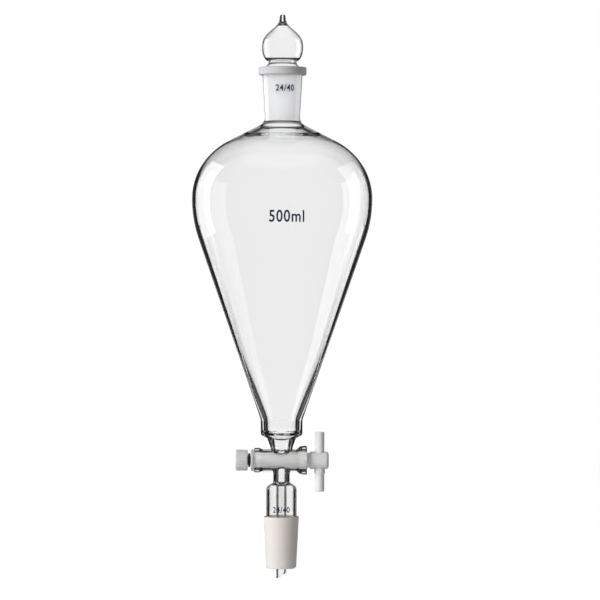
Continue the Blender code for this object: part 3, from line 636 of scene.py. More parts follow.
# %% Turn the handle bar
BAR_SIDES = 64
BAR_COLLAR = (3.7, 2.8)         # radius and length of the collar under the hub
bar_low, bar_high = span("handle_bar", "z")
collar_top = STOPCOCK_Z - HUB_RADIUS - RUNNING
bar_line = softened(
    [
        (0.0, bar_high),
        (BAR_RADIUS, bar_high),
        (BAR_RADIUS, collar_top),
        (BAR_COLLAR[0], collar_top),
        (BAR_COLLAR[0], collar_top - BAR_COLLAR[1]),
        (BAR_RADIUS, collar_top - BAR_COLLAR[1] - 0.5),
        (BAR_RADIUS, bar_low),
        (0.0, bar_low),
    ],
    [0, 0.6, 0, 0.2, 0.4, 0.3, 0.6, 0],
    5,
)
bar_piece = turned("bar_piece", refine(bar_line, 3.0), BAR_SIDES, closed=False, place=(bar_x, 0.0, 0.0))
finish_shading(bar_piece)

# %% [markdown]
# ## Washer, rubber ring and nut
#
# On its tail the plug carries a flat washer, a black rubber ring and a nut. The nut squeezes the ring, and
# the ring pulls the plug into its taper. The washer's hole has a straight side that fits the flat of the
# tail, so that the washer turns with the plug and not with the nut. All three are turned; the straight side
# and the nut's flutes are made by moving points, which keeps the meshes simple.

# %% Turn the washer
washer_low, washer_high = span("bearing_washer", "x")
washer_radius, washer_hole = reach("bearing_washer"), TAIL_RADIUS + RUNNING
washer_line = softened(
    [
        (washer_hole, washer_high),
        (washer_radius, washer_high),
        (washer_radius, washer_low),
        (washer_hole, washer_low),
        (washer_hole, washer_high),
    ],
    [0, 0.3, 0.3, 0, 0],
    4,
)[:-1]
washer_piece = turned("washer_piece", washer_line, PLUG_SIDES, axis="x", place=(0.0, 0.0, STOPCOCK_Z))
straight_side = (TAIL_RADIUS - TAIL_FLAT + RUNNING) * MM
for point in washer_piece.data.vertices:
    if math.hypot(point.co.y, point.co.z - STOPCOCK_Z * MM) < (washer_hole + 0.1) * MM:
        point.co.y = min(point.co.y, straight_side)
finish_shading(washer_piece)

# %% Turn the rubber ring
RING_STEPS = 20
ring_low, ring_high = span("rubber_ring", "x")
ring_section = (ring_high - ring_low) / 2
ring_middle = reach("rubber_ring") - ring_section
ring_x = (ring_low + ring_high) / 2
around = [math.tau * i / RING_STEPS for i in range(RING_STEPS)]
ring_line = [(ring_middle + ring_section * math.cos(a), ring_x - ring_section * math.sin(a)) for a in around]
ring_piece = turned("ring_piece", ring_line, PLUG_SIDES, axis="x", place=(0.0, 0.0, STOPCOCK_Z))
finish_shading(ring_piece)

# %% Turn the nut and press its flutes
FLUTES = 20
NUT_FLUTE = 0.25                # depth of a flute
FLUTE_REACH = 0.3               # how far in from the nut's side the points are moved
THREAD_GAP = 0.25
nut_radius = reach("tension_nut", "z")
nut_hole = TAIL_RADIUS + THREAD_GAP
nut_line = softened(
    [
        (nut_hole, nut_high),
        (nut_radius, nut_high),
        (nut_radius, nut_low),
        (nut_hole, nut_low),
        (nut_hole, nut_high),
    ],
    [0, 0.6, 1.1, 0.3, 0],
    5,
)[:-1]
nut_piece = turned("nut_piece", refine(nut_line, 2.0), 8 * FLUTES, axis="x", place=(0.0, 0.0, STOPCOCK_Z))
for point in nut_piece.data.vertices:
    y, z = point.co.y, point.co.z - STOPCOCK_Z * MM
    radius, angle = math.hypot(y, z), math.atan2(y, z)
    if radius > (nut_radius - FLUTE_REACH) * MM:
        shrunk = 1.0 - NUT_FLUTE * MM / radius * max(0.0, -math.cos(FLUTES * angle))
        point.co.y, point.co.z = y * shrunk, STOPCOCK_Z * MM + z * shrunk
finish_shading(nut_piece)

# %% [markdown]
# ## Nodes for the finishes
#
# Materials are node trees. Nodes could be added one by one with all their settings, but most steps repeat:
# add a node, link or set its inputs, do a sum, move a range. A few short helpers keep the materials
# readable.

# %% Helpers for nodes
FLOAT, VECTOR = "NodeSocketFloat", "NodeSocketVector"


def add(tree, kind, links=None, **settings):
    """Adds a node, sets its properties and links or sets its inputs."""
    node = tree.nodes.new(kind)
    for key, value in settings.items():
        setattr(node, key, value)
    for key, value in (links or {}).items():
        if isinstance(value, bpy.types.NodeSocket):
            tree.links.new(value, node.inputs[key])
        else:
            node.inputs[key].default_value = value
    return node


def maths(tree, operation, *terms):
    """The result of a sum, a product or another operation on values."""
    return add(tree, "ShaderNodeMath", dict(enumerate(terms)), operation=operation).outputs[0]


def ranged(tree, value, low, high, start=0.0, stop=1.0):
    """Moves a value from one range to another."""
    limits = {"From Min": start, "From Max": stop, "To Min": low, "To Max": high}
    return add(tree, "ShaderNodeMapRange", {"Value": value, **limits}).outputs["Result"]


def noise(tree, place, scale, detail):
    """A cloudy pattern with values from 0 to 1."""
    return add(tree, "ShaderNodeTexNoise", {"Vector": place, "Scale": scale, "Detail": detail}).outputs["Fac"]


def new_group(name, inputs, outputs):
    """An empty shader node group with named inputs and outputs, and its two end nodes."""
    group = bpy.data.node_groups.new(name, "ShaderNodeTree")
    for label, kind, value in inputs:
        socket = group.interface.new_socket(label, in_out="INPUT", socket_type=kind)
        if value is not None:
            socket.default_value = value
    for label, kind in outputs:
        group.interface.new_socket(label, in_out="OUTPUT", socket_type=kind)
    return group, group.nodes.new("NodeGroupInput").outputs, group.nodes.new("NodeGroupOutput").inputs


# %% [markdown]
# ## Film of handling
#
# Polished glass carries a thin film from hands and water, and a few specks of dust. An image could be
# painted for it, but a cloudy pattern and small cells need no picture and stay sharp from near. It is a
# node group, so that the vessel and the stopper share it.

# %% Film of handling
FILM_RANGE = (0.45, 0.75)       # values of the pattern where the film starts, and where it is full
SPECK_RANGE = (0.06, 0.02)      # distances from a cell's middle where a speck starts, and where it is full

film, given, out = new_group(
    "handling_film",
    [("Place", VECTOR, None), ("Patch", FLOAT, 60.0), ("Speck", FLOAT, 1500.0)],
    [("Film", FLOAT), ("Specks", FLOAT), ("Height", FLOAT)],
)
patches = noise(film, given["Place"], given["Patch"], 4.0)
cells = add(film, "ShaderNodeTexVoronoi", {"Vector": given["Place"], "Scale": given["Speck"]})
film.links.new(ranged(film, patches, 0.0, 1.0, *FILM_RANGE), out["Film"])
film.links.new(ranged(film, cells.outputs["Distance"], 0.0, 1.0, *SPECK_RANGE), out["Specks"])
film.links.new(patches, out["Height"])
print("node group:", film.name)

# %% [markdown]
# ## Lines left by a lathe
#
# A turning tool leaves fine lines round the plastic pieces. Real grooves would take very many faces, so the
# lines are a pattern along the axis that the piece was turned on, broken up by a cloudy one, for the tone
# and the bump.

# %% Lines left by a lathe
CLOUD_SCALE = 180.0

lathe, given, out = new_group(
    "lathe_lines",
    [("Along", FLOAT, 0.0), ("Place", VECTOR, None), ("Line", FLOAT, 0.00035)],
    [("Tone", FLOAT), ("Height", FLOAT)],
)
cuts = maths(lathe, "DIVIDE", given["Along"], given["Line"])
lines = add(lathe, "ShaderNodeTexNoise", {"W": cuts, "Scale": 1.0, "Detail": 3.0}, noise_dimensions="1D")
cloud = noise(lathe, given["Place"], CLOUD_SCALE, 3.0)
lathe.links.new(maths(lathe, "MULTIPLY", lines.outputs["Fac"], cloud), out["Tone"])
lathe.links.new(lines.outputs["Fac"], out["Height"])
print("node group:", lathe.name)

# %% [markdown]
# ## Grain of a ground face
#
# The joints are ground with abrasive, which leaves a fine even grain, a little cloudy over a larger
# stretch. Two patterns of different size make it. Rubber and printed ink have a grain too, so they share
# the group.

# %% Grain of a ground face
GRIND_SIZE = 4000.0             # scale of the fine grain on glass
BROAD_SCALE = 90.0

grain, given, out = new_group(
    "ground_grain",
    [("Place", VECTOR, None), ("Size", FLOAT, GRIND_SIZE)],
    [("Tone", FLOAT), ("Height", FLOAT)],
)
fine = noise(grain, given["Place"], given["Size"], 2.0)
broad = noise(grain, given["Place"], BROAD_SCALE, 3.0)
grain.links.new(maths(grain, "MULTIPLY", maths(grain, "ADD", fine, broad), 0.5), out["Tone"])
grain.links.new(fine, out["Height"])
print("node group:", grain.name)

# %% [markdown]
# ## Clear glass
#
# Clear glass is one Principled shader with full transmission. A glass shader could do this too, but with
# the Principled one every finish of the part has the same kind of shader. The film changes the roughness
# only a little, so that the glass stays clear, the specks have a tone of their own, and a very weak bump
# gives the soft waves of a wall blown by hand.

# %% Materials for the clear glass
GLASS_IOR = 1.473
SPECK_TONE = (0.9, 0.9, 0.9)
FILM_ROUGHNESS = 0.03           # where the film is thickest
WAVES = (0.02, 0.0002)          # strength of the waves in the wall, and their depth in metres


def shader_of(name):
    """A new material with its node tree and its Principled shader."""
    made = bpy.data.materials.new(name)
    made.use_nodes = True
    tree = made.node_tree
    return made, tree, tree.nodes["Principled BSDF"]


def values(shader, **numbers):
    """Sets plain values on a shader's own sockets."""
    for key, value in numbers.items():
        shader.inputs[key.replace("_", " ")].default_value = value


def place_of(tree):
    """Where a point lies on its object."""
    return add(tree, "ShaderNodeTexCoord").outputs["Object"]


def group_of(tree, group, **links):
    """Places a shared node group in a material."""
    return add(tree, "ShaderNodeGroup", links, node_tree=group).outputs


def blended(tree, factor, first, second):
    """A colour between two others."""
    node = add(tree, "ShaderNodeMix", {"Factor": factor}, data_type="RGBA")
    node.inputs["A"].default_value, node.inputs["B"].default_value = (*first, 1.0), (*second, 1.0)
    return next(o for o in node.outputs if o.type == "RGBA")


def bumped(tree, shader, height, strength, depth=0.0001):
    """A bump of a given depth, in metres."""
    bump = add(tree, "ShaderNodeBump", {"Height": height, "Strength": strength, "Distance": depth})
    tree.links.new(bump.outputs["Normal"], shader.inputs["Normal"])


def clear_glass(name, tint):
    """Polished glass with a film of handling."""
    made, tree, shader = shader_of(name)
    values(shader, Transmission_Weight=1.0, IOR=GLASS_IOR, Metallic=0.0)
    handled = group_of(tree, film, Place=place_of(tree))
    tree.links.new(ranged(tree, handled["Film"], 0.0, FILM_ROUGHNESS), shader.inputs["Roughness"])
    tree.links.new(blended(tree, handled["Specks"], tint, SPECK_TONE), shader.inputs["Base Color"])
    bumped(tree, shader, handled["Height"], *WAVES)
    return made


vessel_clear = clear_glass("vessel_clear", (0.985, 0.988, 0.985))
stopper_clear = clear_glass("stopper_clear", (1.0, 0.996, 1.0))
print("clear glass:", vessel_clear.name, stopper_clear.name)

# %% [markdown]
# ## Ground glass, rubber and ink
#
# Ground glass scatters light, so it looks white and shapes don't show through it. A rough glass shader
# alone turns grey in a dark studio, so most of the light is left to scatter on the face, as on the real
# grain. The rubber ring is matte black, and the print is dark blue enamel. All have the same grain, with
# their own tones.

# %% Materials with a grain
GROUND_ROUGHNESS = (0.54, 0.66)
GROUND_BUMP = 0.15


def grained(name, deep, pale, size, roughness, bump):
    """A finish whose tone and roughness follow the grain, with its shader."""
    made, tree, shader = shader_of(name)
    grains = group_of(tree, grain, Place=place_of(tree), Size=size)
    tree.links.new(blended(tree, grains["Tone"], deep, pale), shader.inputs["Base Color"])
    tree.links.new(ranged(tree, grains["Height"], *roughness), shader.inputs["Roughness"])
    if bump:
        bumped(tree, shader, grains["Height"], bump)
    return made, shader


def ground_glass(name, pale, deep, transmission):
    """Glass with a ground face that lets a given share of the light through."""
    made, shader = grained(name, deep, pale, GRIND_SIZE, GROUND_ROUGHNESS, GROUND_BUMP)
    values(shader, Transmission_Weight=transmission, IOR=GLASS_IOR, Metallic=0.0)
    return made


socket_ground = ground_glass("socket_ground", (0.965, 0.965, 0.98), (0.93, 0.93, 0.95), 0.0)
cone_ground = ground_glass("cone_ground", (0.91, 0.865, 0.83), (0.81, 0.75, 0.71), 0.2)
# The rim is the same ground glass as the socket; its grey tones are painted shade.
rim_ground_painted_shade = ground_glass("rim_ground_painted_shade", (0.58, 0.58, 0.59), (0.50, 0.50, 0.51), 0.1)
ring_tones = ((0.012, 0.012, 0.013), (0.035, 0.034, 0.035))
ring_black = grained("ring_black", *ring_tones, 2500.0, (0.5, 0.75), 0.2)[0]
ink_tones = ((0.008, 0.010, 0.045), (0.020, 0.026, 0.105))
ink_blue = grained("ink_blue", *ink_tones, 3000.0, (0.35, 0.55), 0.0)[0]
print("grained:", *(look.name for look in (socket_ground, cone_ground, rim_ground_painted_shade, ring_black, ink_blue)))

# %% [markdown]
# ## White plastic
#
# The plug, its bar, the washer and the nut are of a waxy white plastic that light enters a little. Plain
# white paint would look hard, so the shader has some subsurface light, and the lathe lines break up its
# gloss. The nut and the washer get greyer tones, which are painted shade.

# %% Materials for the plastic
PLASTIC_IOR = 1.36
PLASTIC_ROUGHNESS = (0.38, 0.55)
LATHE_BUMP = 0.12
WAX_WEIGHT, WAX_DEPTH = 0.15, 0.002     # share of the light that enters, and how deep, in metres
WAX_COLOURS = (1.0, 0.9, 0.8)   # how much deeper red light goes than green and blue


def turned_plastic(name, pale, deep, along):
    """White plastic with lathe lines that run round the axis it was turned on."""
    made, tree, shader = shader_of(name)
    values(shader, IOR=PLASTIC_IOR, Subsurface_Weight=WAX_WEIGHT)
    values(shader, Subsurface_Scale=WAX_DEPTH, Subsurface_Radius=WAX_COLOURS)
    place = place_of(tree)
    split = add(tree, "ShaderNodeSeparateXYZ", {"Vector": place})
    lathed = group_of(tree, lathe, Along=split.outputs[along], Place=place)
    tree.links.new(blended(tree, lathed["Tone"], deep, pale), shader.inputs["Base Color"])
    tree.links.new(ranged(tree, lathed["Tone"], *PLASTIC_ROUGHNESS), shader.inputs["Roughness"])
    bumped(tree, shader, lathed["Height"], LATHE_BUMP)
    return made


plug_white = turned_plastic("plug_white", (0.78, 0.78, 0.78), (0.69, 0.69, 0.68), "X")
bar_white = turned_plastic("bar_white", (0.82, 0.82, 0.83), (0.74, 0.74, 0.74), "Z")
# The nut and the washer are the same white plastic as the plug; their greyer tones are painted shade.
nut_white_painted_shade = turned_plastic("nut_white_painted_shade", (0.66, 0.65, 0.65), (0.57, 0.56, 0.56), "X")
washer_white_painted_shade = turned_plastic("washer_white_painted_shade", (0.60, 0.59, 0.59), (0.52, 0.51, 0.51), "X")
print("plastic:", plug_white.name, bar_white.name, nut_white_painted_shade.name, washer_white_painted_shade.name)

# %% [markdown]
# ## Printed numbers
#
# The capacity and the size of each ground joint are printed on the glass in dark blue enamel. A picture of
# the numbers could be laid on the glass, but thin shapes stay sharp from near. Each is a text object turned
# into a thin mesh, cut into narrow slices and wrapped round the glass, so that it lies on the curve.

# %% Print the numbers
INK_THICKNESS = 0.04
LETTER_WEIGHT = 0.018           # how much bolder than the plain typeface
LETTER_SPACE = 1.12
SLICE = 0.4                     # widest slice of a word, so that it can bend
INK_ROOT = 0.25                 # share of the thickness at which its underside lies


def outer_radius(line, height):
    """Radius of an outer line, from top to bottom, at a height."""
    for (r0, h0), (r1, h1) in zip(line, line[1:]):
        if h1 <= height <= h0 and h0 > h1:
            return r0 + (r1 - r0) * (h0 - height) / (h0 - h1)
    raise ValueError("height outside the line")


def printed(name, text, width, tall, middle_height, aside, line):
    """Wraps a word of a given width and height round the glass; aside is its middle, right of the axis."""
    words = bpy.data.curves.new(name, "FONT")
    words.body, words.align_x, words.align_y = text, "CENTER", "CENTER"
    words.extrude, words.offset, words.resolution_u = 0.01, LETTER_WEIGHT, 6
    words.space_character = LETTER_SPACE
    source = bpy.data.objects.new(name + "_text", words)
    bpy.context.scene.collection.objects.link(source)
    flat = bpy.data.meshes.new_from_object(source.evaluated_get(bpy.context.evaluated_depsgraph_get()))
    bpy.data.objects.remove(source, do_unlink=True)
    bm = bmesh.new()
    bm.from_mesh(flat)
    bpy.data.meshes.remove(flat)
    bmesh.ops.remove_doubles(bm, verts=bm.verts, dist=0.0001)
    xs, ys = [v.co.x for v in bm.verts], [v.co.y for v in bm.verts]
    across, up = max(xs) - min(xs), max(ys) - min(ys)
    for v in bm.verts:
        v.co.x = (v.co.x - (max(xs) + min(xs)) / 2) * width / across
        v.co.y = (v.co.y - (max(ys) + min(ys)) / 2) * tall / up
        v.co.z = INK_THICKNESS * (1.0 if v.co.z > 0 else INK_ROOT)
    slices = math.ceil(width / SLICE)
    for i in range(1, slices):
        everything = bm.verts[:] + bm.edges[:] + bm.faces[:]
        cut = (width * (i / slices - 0.5), 0, 0)
        bmesh.ops.bisect_plane(bm, geom=everything, plane_co=cut, plane_no=(1, 0, 0))
    for v in bm.verts:
        height = middle_height + v.co.y
        radius = outer_radius(line, height) + v.co.z
        angle = (v.co.x + aside) / radius - math.pi / 2
        v.co = (radius * math.cos(angle), radius * math.sin(angle), height)
    return show(name, bm)


belly_line = [p[:2] for p in vessel_outer]
neck_line = [(neck_top, rim_under), (NECK_RADIUS, SOCKET_FOOT)]
sleeve_line = [(SLEEVE_RADIUS, sleeve_foot), (SLEEVE_RADIUS, 0.6)]
marks = (
    printed("capacity_mark", "500ml", width=23.8, tall=8.2, middle_height=205.4, aside=3.4, line=belly_line),
    printed("socket_mark", "24/40", width=13.2, tall=4.4, middle_height=294.1, aside=1.9, line=neck_line),
    printed("cone_mark", "24/40", width=12.0, tall=4.1, middle_height=5.4, aside=0.0, line=sleeve_line),
)
print("printed:", ", ".join(mark.name for mark in marks))

# %% [markdown]
# ## Zones of the glass
#
# Only the faces that seat in another piece are ground: the socket's bore, the cone's outside and the
# stopper's cone. The thick rim is ground too, and its greyer tone is painted shade. Separate meshes for these
# faces would show a seam, so the faces of the one mesh are picked by where they lie, and the rest stays
# polished.

# %% Give each face its finish
GROUND_SOCKET_FOOT = 271.6      # height where the ground part of the socket ends


def finish_zones(obj, looks, zone_of):
    """Gives an object its materials, and each face the one that its middle point asks for."""
    obj.data.materials.clear()
    for look in looks:
        obj.data.materials.append(look)
    counts = [0] * len(looks)
    for face in obj.data.polygons:
        middle = face.center / MM
        face.material_index = zone_of(math.hypot(middle.x, middle.y), middle.z)
        counts[face.material_index] += 1
    print(obj.name, dict(zip((look.name for look in looks), counts)))


def funnel_zone(r, z):
    """The finish at a radius and height of the funnel: clear, ground socket, ground cone or rim."""
    up = (z - SOCKET_FOOT) / (RIM_TOP - SOCKET_FOOT)
    if z > GROUND_SOCKET_FOOT and r < SOCKET_BORE[1] + (SOCKET_BORE[0] - SOCKET_BORE[1]) * up + 0.4:
        return 1
    on_cone = CONE_END + (z - CONE_FOOT) * (CONE_RADIUS - CONE_END) / -CONE_FOOT
    if CONE_FOOT - 0.1 < z < 0.2 and r > on_cone - 0.6:
        return 2
    return 3 if z > rim_under - 0.2 and r > neck_top + 0.5 else 0


def stopper_zone(r, z):
    """The finish at a radius and height of the stopper: clear or ground."""
    on_cone = wide + JOINT_TAPER * (z - RIM_TOP)
    return 1 if z < RIM_TOP + 0.1 and r > on_cone - 0.5 else 0


finish_zones(funnel_glass, [vessel_clear, socket_ground, cone_ground, rim_ground_painted_shade], funnel_zone)
finish_zones(stopper_glass, [stopper_clear, socket_ground], stopper_zone)
for piece, look in (
    (plug_piece, plug_white),
    (bar_piece, bar_white),
    (washer_piece, washer_white_painted_shade),
    (nut_piece, nut_white_painted_shade),
    (ring_piece, ring_black),
    *((mark, ink_blue) for mark in marks),
):
    piece.data.materials.append(look)
    print(f"{piece.name} is {look.name}")

# %% [markdown]
# ## Riding on the CAD bodies
#
# The stopper lifts out, the plug turns with its bar and washer, and the ring and nut travel on the tail.
# Each piece now rides on the body it moves with, and the CAD nodes it stands for are hidden. They could be
# parented by hand, but these calls also hide what each piece replaces.

# %% Ride on the bodies and hide the replaced nodes
glass_lengths = ["socket_joint", "pear_vessel", "vessel_collar", "stopcock_barrel"]
glass_lengths += ["stopcock_stem", "drip_tube", "cone_joint"]
riders = [
    (funnel_glass, "glass_body", "clear_glass", glass_lengths),
    (stopper_glass, "stopper", "clear_glass", ["stopper"]),
    (plug_piece, "plug", "white_plastic", ["stopcock_plug"]),
    (bar_piece, "plug", "white_plastic", ["handle_bar"]),
    (washer_piece, "plug", "white_plastic", ["bearing_washer"]),
    (ring_piece, "ring", "black_rubber", ["rubber_ring"]),
    (nut_piece, "nut", "white_plastic", ["tension_nut"]),
]
for piece, body, slot, nodes in riders:
    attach(piece, body)
    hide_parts(*nodes)
    print(f"{piece.name} rides on {body} for {', '.join(nodes)}")
for mark in marks:
    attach(mark, "glass_body")

# %% [markdown]
# ## Light and dark round the glass
#
# Clear glass has no colour of its own: it is drawn by what it bends and mirrors. A studio photographs it in
# front of a white ground with dark surroundings, so that its edges turn dark, and puts a tall soft panel on
# each side, which shows as a pale strip. Black cards would do that here too, but they would also shade the
# white plastic. So the floor, the panels and the world ask the Light Path node what a ray has met, and have
# a level for each kind. Most rays cross the near wall and the far wall of the vessel, and see white. A ray
# that runs along inside a wall at its edge crosses an odd number of walls, and meets a narrow white field
# with the dark beside it. Mirrored rays see a dim studio, and scattered ones a plain fill.

# %% Helpers for the stage
STUDIO_DIM = 0.02               # level of the dark surroundings


def rise(tree, value, start, stop):
    """0 at the start, 1 at the stop, smooth between them."""
    limits = {"Value": value, "From Min": start, "From Max": stop}
    return add(tree, "ShaderNodeMapRange", limits, interpolation_type="SMOOTHSTEP").outputs["Result"]


def window(tree, value, half, soft):
    """1 within a distance of zero and 0 beyond it, with soft ends."""
    return rise(tree, maths(tree, "ABSOLUTE", value), half + soft, half - soft)


def choose(tree, factor, off, on):
    """One of two values."""
    return add(tree, "ShaderNodeMix", {"Factor": factor, "A": off, "B": on}, data_type="FLOAT").outputs[0]


def path_of(tree):
    """A ray's kinds, and whether it was mirrored, scattered, or crossed an odd number of walls."""
    path = add(tree, "ShaderNodeLightPath").outputs
    mirrored = maths(tree, "GREATER_THAN", path["Glossy Depth"], 0.5)
    scattered = maths(tree, "GREATER_THAN", path["Diffuse Depth"], 0.5)
    # A wall has two faces, so two walls are four crossings.
    odd = maths(tree, "COMPARE", maths(tree, "MODULO", path["Transmission Depth"], 4.0), 2.0, 0.5)
    return path, mirrored, scattered, odd


# %% [markdown]
# ## Floor
#
# The floor is the studio's white table. It is a pale matte sheet that takes the shadow of the part, and for
# the camera and for clear glass it glows just enough to pass into the white ground without a line. A curved
# sheet of paper could do that too, but it would stand in front of the world, which gives the glass its dark
# edges.

# %% Floor
FLOOR_DROP = 160.0              # how far it lies under the tip
FLOOR_SIZE = 6000.0
FLOOR_TONES = ((0.80, 0.80, 0.80), (0.84, 0.84, 0.84))
FLOOR_GLOW = 0.71
FOOT_SHADE = (0.25, 0.35)       # distance where the table turns from dim to white, as glass shows it

floor_z = (TIP_Z - FLOOR_DROP) * MM
sheet = bmesh.new()
bmesh.ops.create_grid(sheet, x_segments=8, y_segments=8, size=FLOOR_SIZE)
bmesh.ops.translate(sheet, verts=sheet.verts, vec=(0.0, 0.0, floor_z / MM))
floor = show("floor", sheet)
floor_pale, tree, shader = shader_of("floor_pale")
values(shader, Roughness=0.9, Emission_Color=(1.0, 1.0, 1.0, 1.0))
place = place_of(tree)
tree.links.new(blended(tree, noise(tree, place, 6.0, 3.0), *FLOOR_TONES), shader.inputs["Base Color"])
path, mirrored, scattered, odd = path_of(tree)
spot = add(tree, "ShaderNodeSeparateXYZ", {"Vector": place}).outputs
flat_place = add(tree, "ShaderNodeCombineXYZ", {"X": spot["X"], "Y": spot["Y"]}).outputs[0]
away = add(tree, "ShaderNodeVectorMath", {0: flat_place}, operation="LENGTH").outputs["Value"]
beyond = maths(tree, "MULTIPLY", path["Is Transmission Ray"], rise(tree, away, *FOOT_SHADE))
seen = maths(tree, "MAXIMUM", path["Is Camera Ray"], beyond)
tree.links.new(maths(tree, "MULTIPLY", seen, FLOOR_GLOW), shader.inputs["Emission Strength"])
floor.data.materials.append(floor_pale)
print(f"floor {floor_z:.3f} m")

# %% [markdown]
# ## The table in the mirror
#
# The lower half of the vessel leans over, so it mirrors the table. An evenly lit table would show there as
# one flat tone. Here the table is lit on both sides and dark toward the camera and straight behind, which
# gives the two long soft bands on the cone of the vessel. Only mirrored rays see it, so the shadow on the
# floor stays as it is.

# %% Lit table
TABLE_EDGE = (3.1, 2.9)         # distance, in metres, over which the lit part ends
TABLE_FRONT = (0.57, -0.24)     # its front edge: slope toward the sides, and place in the middle
FRONT_SOFT = 0.012
TABLE_NEAR = (1.06, 1.14)       # distance where the near part passes into the rest
REAR_SLOPES = (1.15, 0.81)      # how it is cut off behind, near the part and further away
REAR_SOFT = 0.03
NEAR_TABLE, SIDE_TABLE, REAR_TABLE = 0.6, 1.8, 2.8

across = maths(tree, "ABSOLUTE", spot["X"])


def beside(slope):
    """1 beside a line that runs back from the middle on either side, and 0 behind it."""
    return rise(tree, maths(tree, "MULTIPLY_ADD", spot["Y"], slope, across), -REAR_SOFT, REAR_SOFT)


front_edge = maths(tree, "MULTIPLY_ADD", across, *TABLE_FRONT)
past_front = rise(tree, maths(tree, "SUBTRACT", spot["Y"], front_edge), -FRONT_SOFT, FRONT_SOFT)
further = rise(tree, away, *TABLE_NEAR)
lit = maths(tree, "MULTIPLY", rise(tree, away, *TABLE_EDGE), past_front)
lit = maths(tree, "MULTIPLY", lit, beside(choose(tree, further, -REAR_SLOPES[0], -REAR_SLOPES[1])))
far_level = choose(tree, beside(-REAR_SLOPES[0]), REAR_TABLE, SIDE_TABLE)
table_level = choose(tree, further, NEAR_TABLE, far_level)
table = add(tree, "ShaderNodeEmission", {"Strength": choose(tree, lit, STUDIO_DIM, table_level)})
clear = add(tree, "ShaderNodeBsdfTransparent")
unscattered = maths(tree, "SUBTRACT", 1.0, scattered)
in_mirror = maths(tree, "MULTIPLY", mirrored, unscattered)
shown = add(tree, "ShaderNodeMixShader", {0: in_mirror, 1: shader.outputs[0], 2: table.outputs[0]})
in_wall = maths(tree, "MULTIPLY", odd, unscattered)
pick = add(tree, "ShaderNodeMixShader", {0: in_wall, 1: shown.outputs[0], 2: clear.outputs[0]})
tree.links.new(pick.outputs[0], tree.nodes["Material Output"].inputs["Surface"])
print(f"{floor_pale.name}: {len(tree.nodes)} nodes")

# %% [markdown]
# ## Tall panels
#
# The bright strips on the belly are the mirror images of two tall soft boxes. Area lamps could make them,
# but they would light the floor and the plastic as well. These are plain sheets that glow only in what the
# glass mirrors. A soft box fades toward its rear edge, so each has a second, weaker sheet behind the first.

# %% Tall panels
LIGHT_ASIDE = 400.0             # distance of the panels from the axis
STRIP_HEIGHTS = (70.0, 540.0)   # lower and upper edge
GLOW_HEIGHTS = (135.0, 540.0)   # the same of the weaker sheets
# Place to the side, then front edge, where the sheets meet, rear edge, and the levels of both sheets.
PANELS = {
    "left": (-LIGHT_ASIDE, 58.0, 386.0, 490.0, 3.2, 2.3),
    "right": (LIGHT_ASIDE, 0.0, 250.0, 490.0, 2.1, 1.7),
}


def tall_panel(name, x, depth, heights, level):
    """A soft light beside the part that only shows in what the glass mirrors."""
    bm = bmesh.new()
    front, rear = depth
    ends = [(x, y, z) for y, z in zip((front, rear, rear, front), sorted(heights * 2))]
    bm.faces.new([bm.verts.new(end) for end in ends])
    panel = show(name, bm)
    look, tree, shader = shader_of(name)
    look.cycles.emission_sampling = "NONE"
    tree.nodes.remove(shader)
    _, mirrored, scattered, odd = path_of(tree)
    straight = maths(tree, "SUBTRACT", 1.0, mirrored)
    hidden = maths(tree, "MAXIMUM", scattered, maths(tree, "MAXIMUM", odd, straight))
    light = add(tree, "ShaderNodeEmission", {"Strength": level})
    clear = add(tree, "ShaderNodeBsdfTransparent")
    pick = add(tree, "ShaderNodeMixShader", {0: hidden, 1: light.outputs[0], 2: clear.outputs[0]})
    tree.links.new(pick.outputs[0], tree.nodes["Material Output"].inputs["Surface"])
    panel.data.materials.append(look)
    panel.visible_camera = panel.visible_diffuse = panel.visible_shadow = False
    print(f"{name}: {rear - front:.0f} mm wide")


for side, (x, front, change, rear, strip, glow) in PANELS.items():
    tall_panel(f"{side}_panel", x, (front, change), STRIP_HEIGHTS, strip)
    tall_panel(f"{side}_glow", x, (change, rear), GLOW_HEIGHTS, glow)

# %% [markdown]
# ## World
#
# The world is the rest of the studio: the white ground behind, a ceiling, and dark walls. One even white
# would wash the edges out. A room with walls and lamps could be built, but here each level is set directly:
# it depends on the direction, in degrees above level and in degrees aside from straight behind, and on what
# the ray has met.

# %% World
CEILING_EDGE = (46.0, 62.0)     # where the ceiling starts, and where it is full
CEILING_LEVEL = 0.45
OPEN_EDGE = (26.0, 36.0)        # where the white ground ends above, seen through clear walls
REAR_EDGE = (10.0, 20.0)        # where the white ground starts to show in what the glass mirrors
REAR_SIDES = (34.0, 20.0, 4.0)  # its two parts beside the middle: their middle, half width and soft edge
REAR_LEVEL = 0.8
FIELD = (9.0, 16.0, 3.0)        # white field for rays inside a wall: half width, half height and soft edge
FILL_LEVEL = 0.32
FILL_TILT = -0.7                # more of the fill comes from the left
THROUGH_LEVEL = 2.1             # what a matte face behind glass gets
RIGHT_SHADE = (57.5, 57.5, 5.0)     # where it gets less: middle, half width and soft edge
RIGHT_LOSS = -0.95              # how much less, as a share

world = bpy.data.worlds.new("studio")
bpy.context.scene.world = world
world.use_nodes = True
tree = world.node_tree
sky = tree.nodes["Background"]
direction = add(tree, "ShaderNodeTexCoord").outputs["Generated"]
axes = add(tree, "ShaderNodeSeparateXYZ", {"Vector": direction}).outputs
level = maths(tree, "DEGREES", maths(tree, "ARCSINE", axes["Z"]))
aside = maths(tree, "DEGREES", maths(tree, "ARCTAN2", axes["X"], axes["Y"]))
path, mirrored, scattered, odd = path_of(tree)

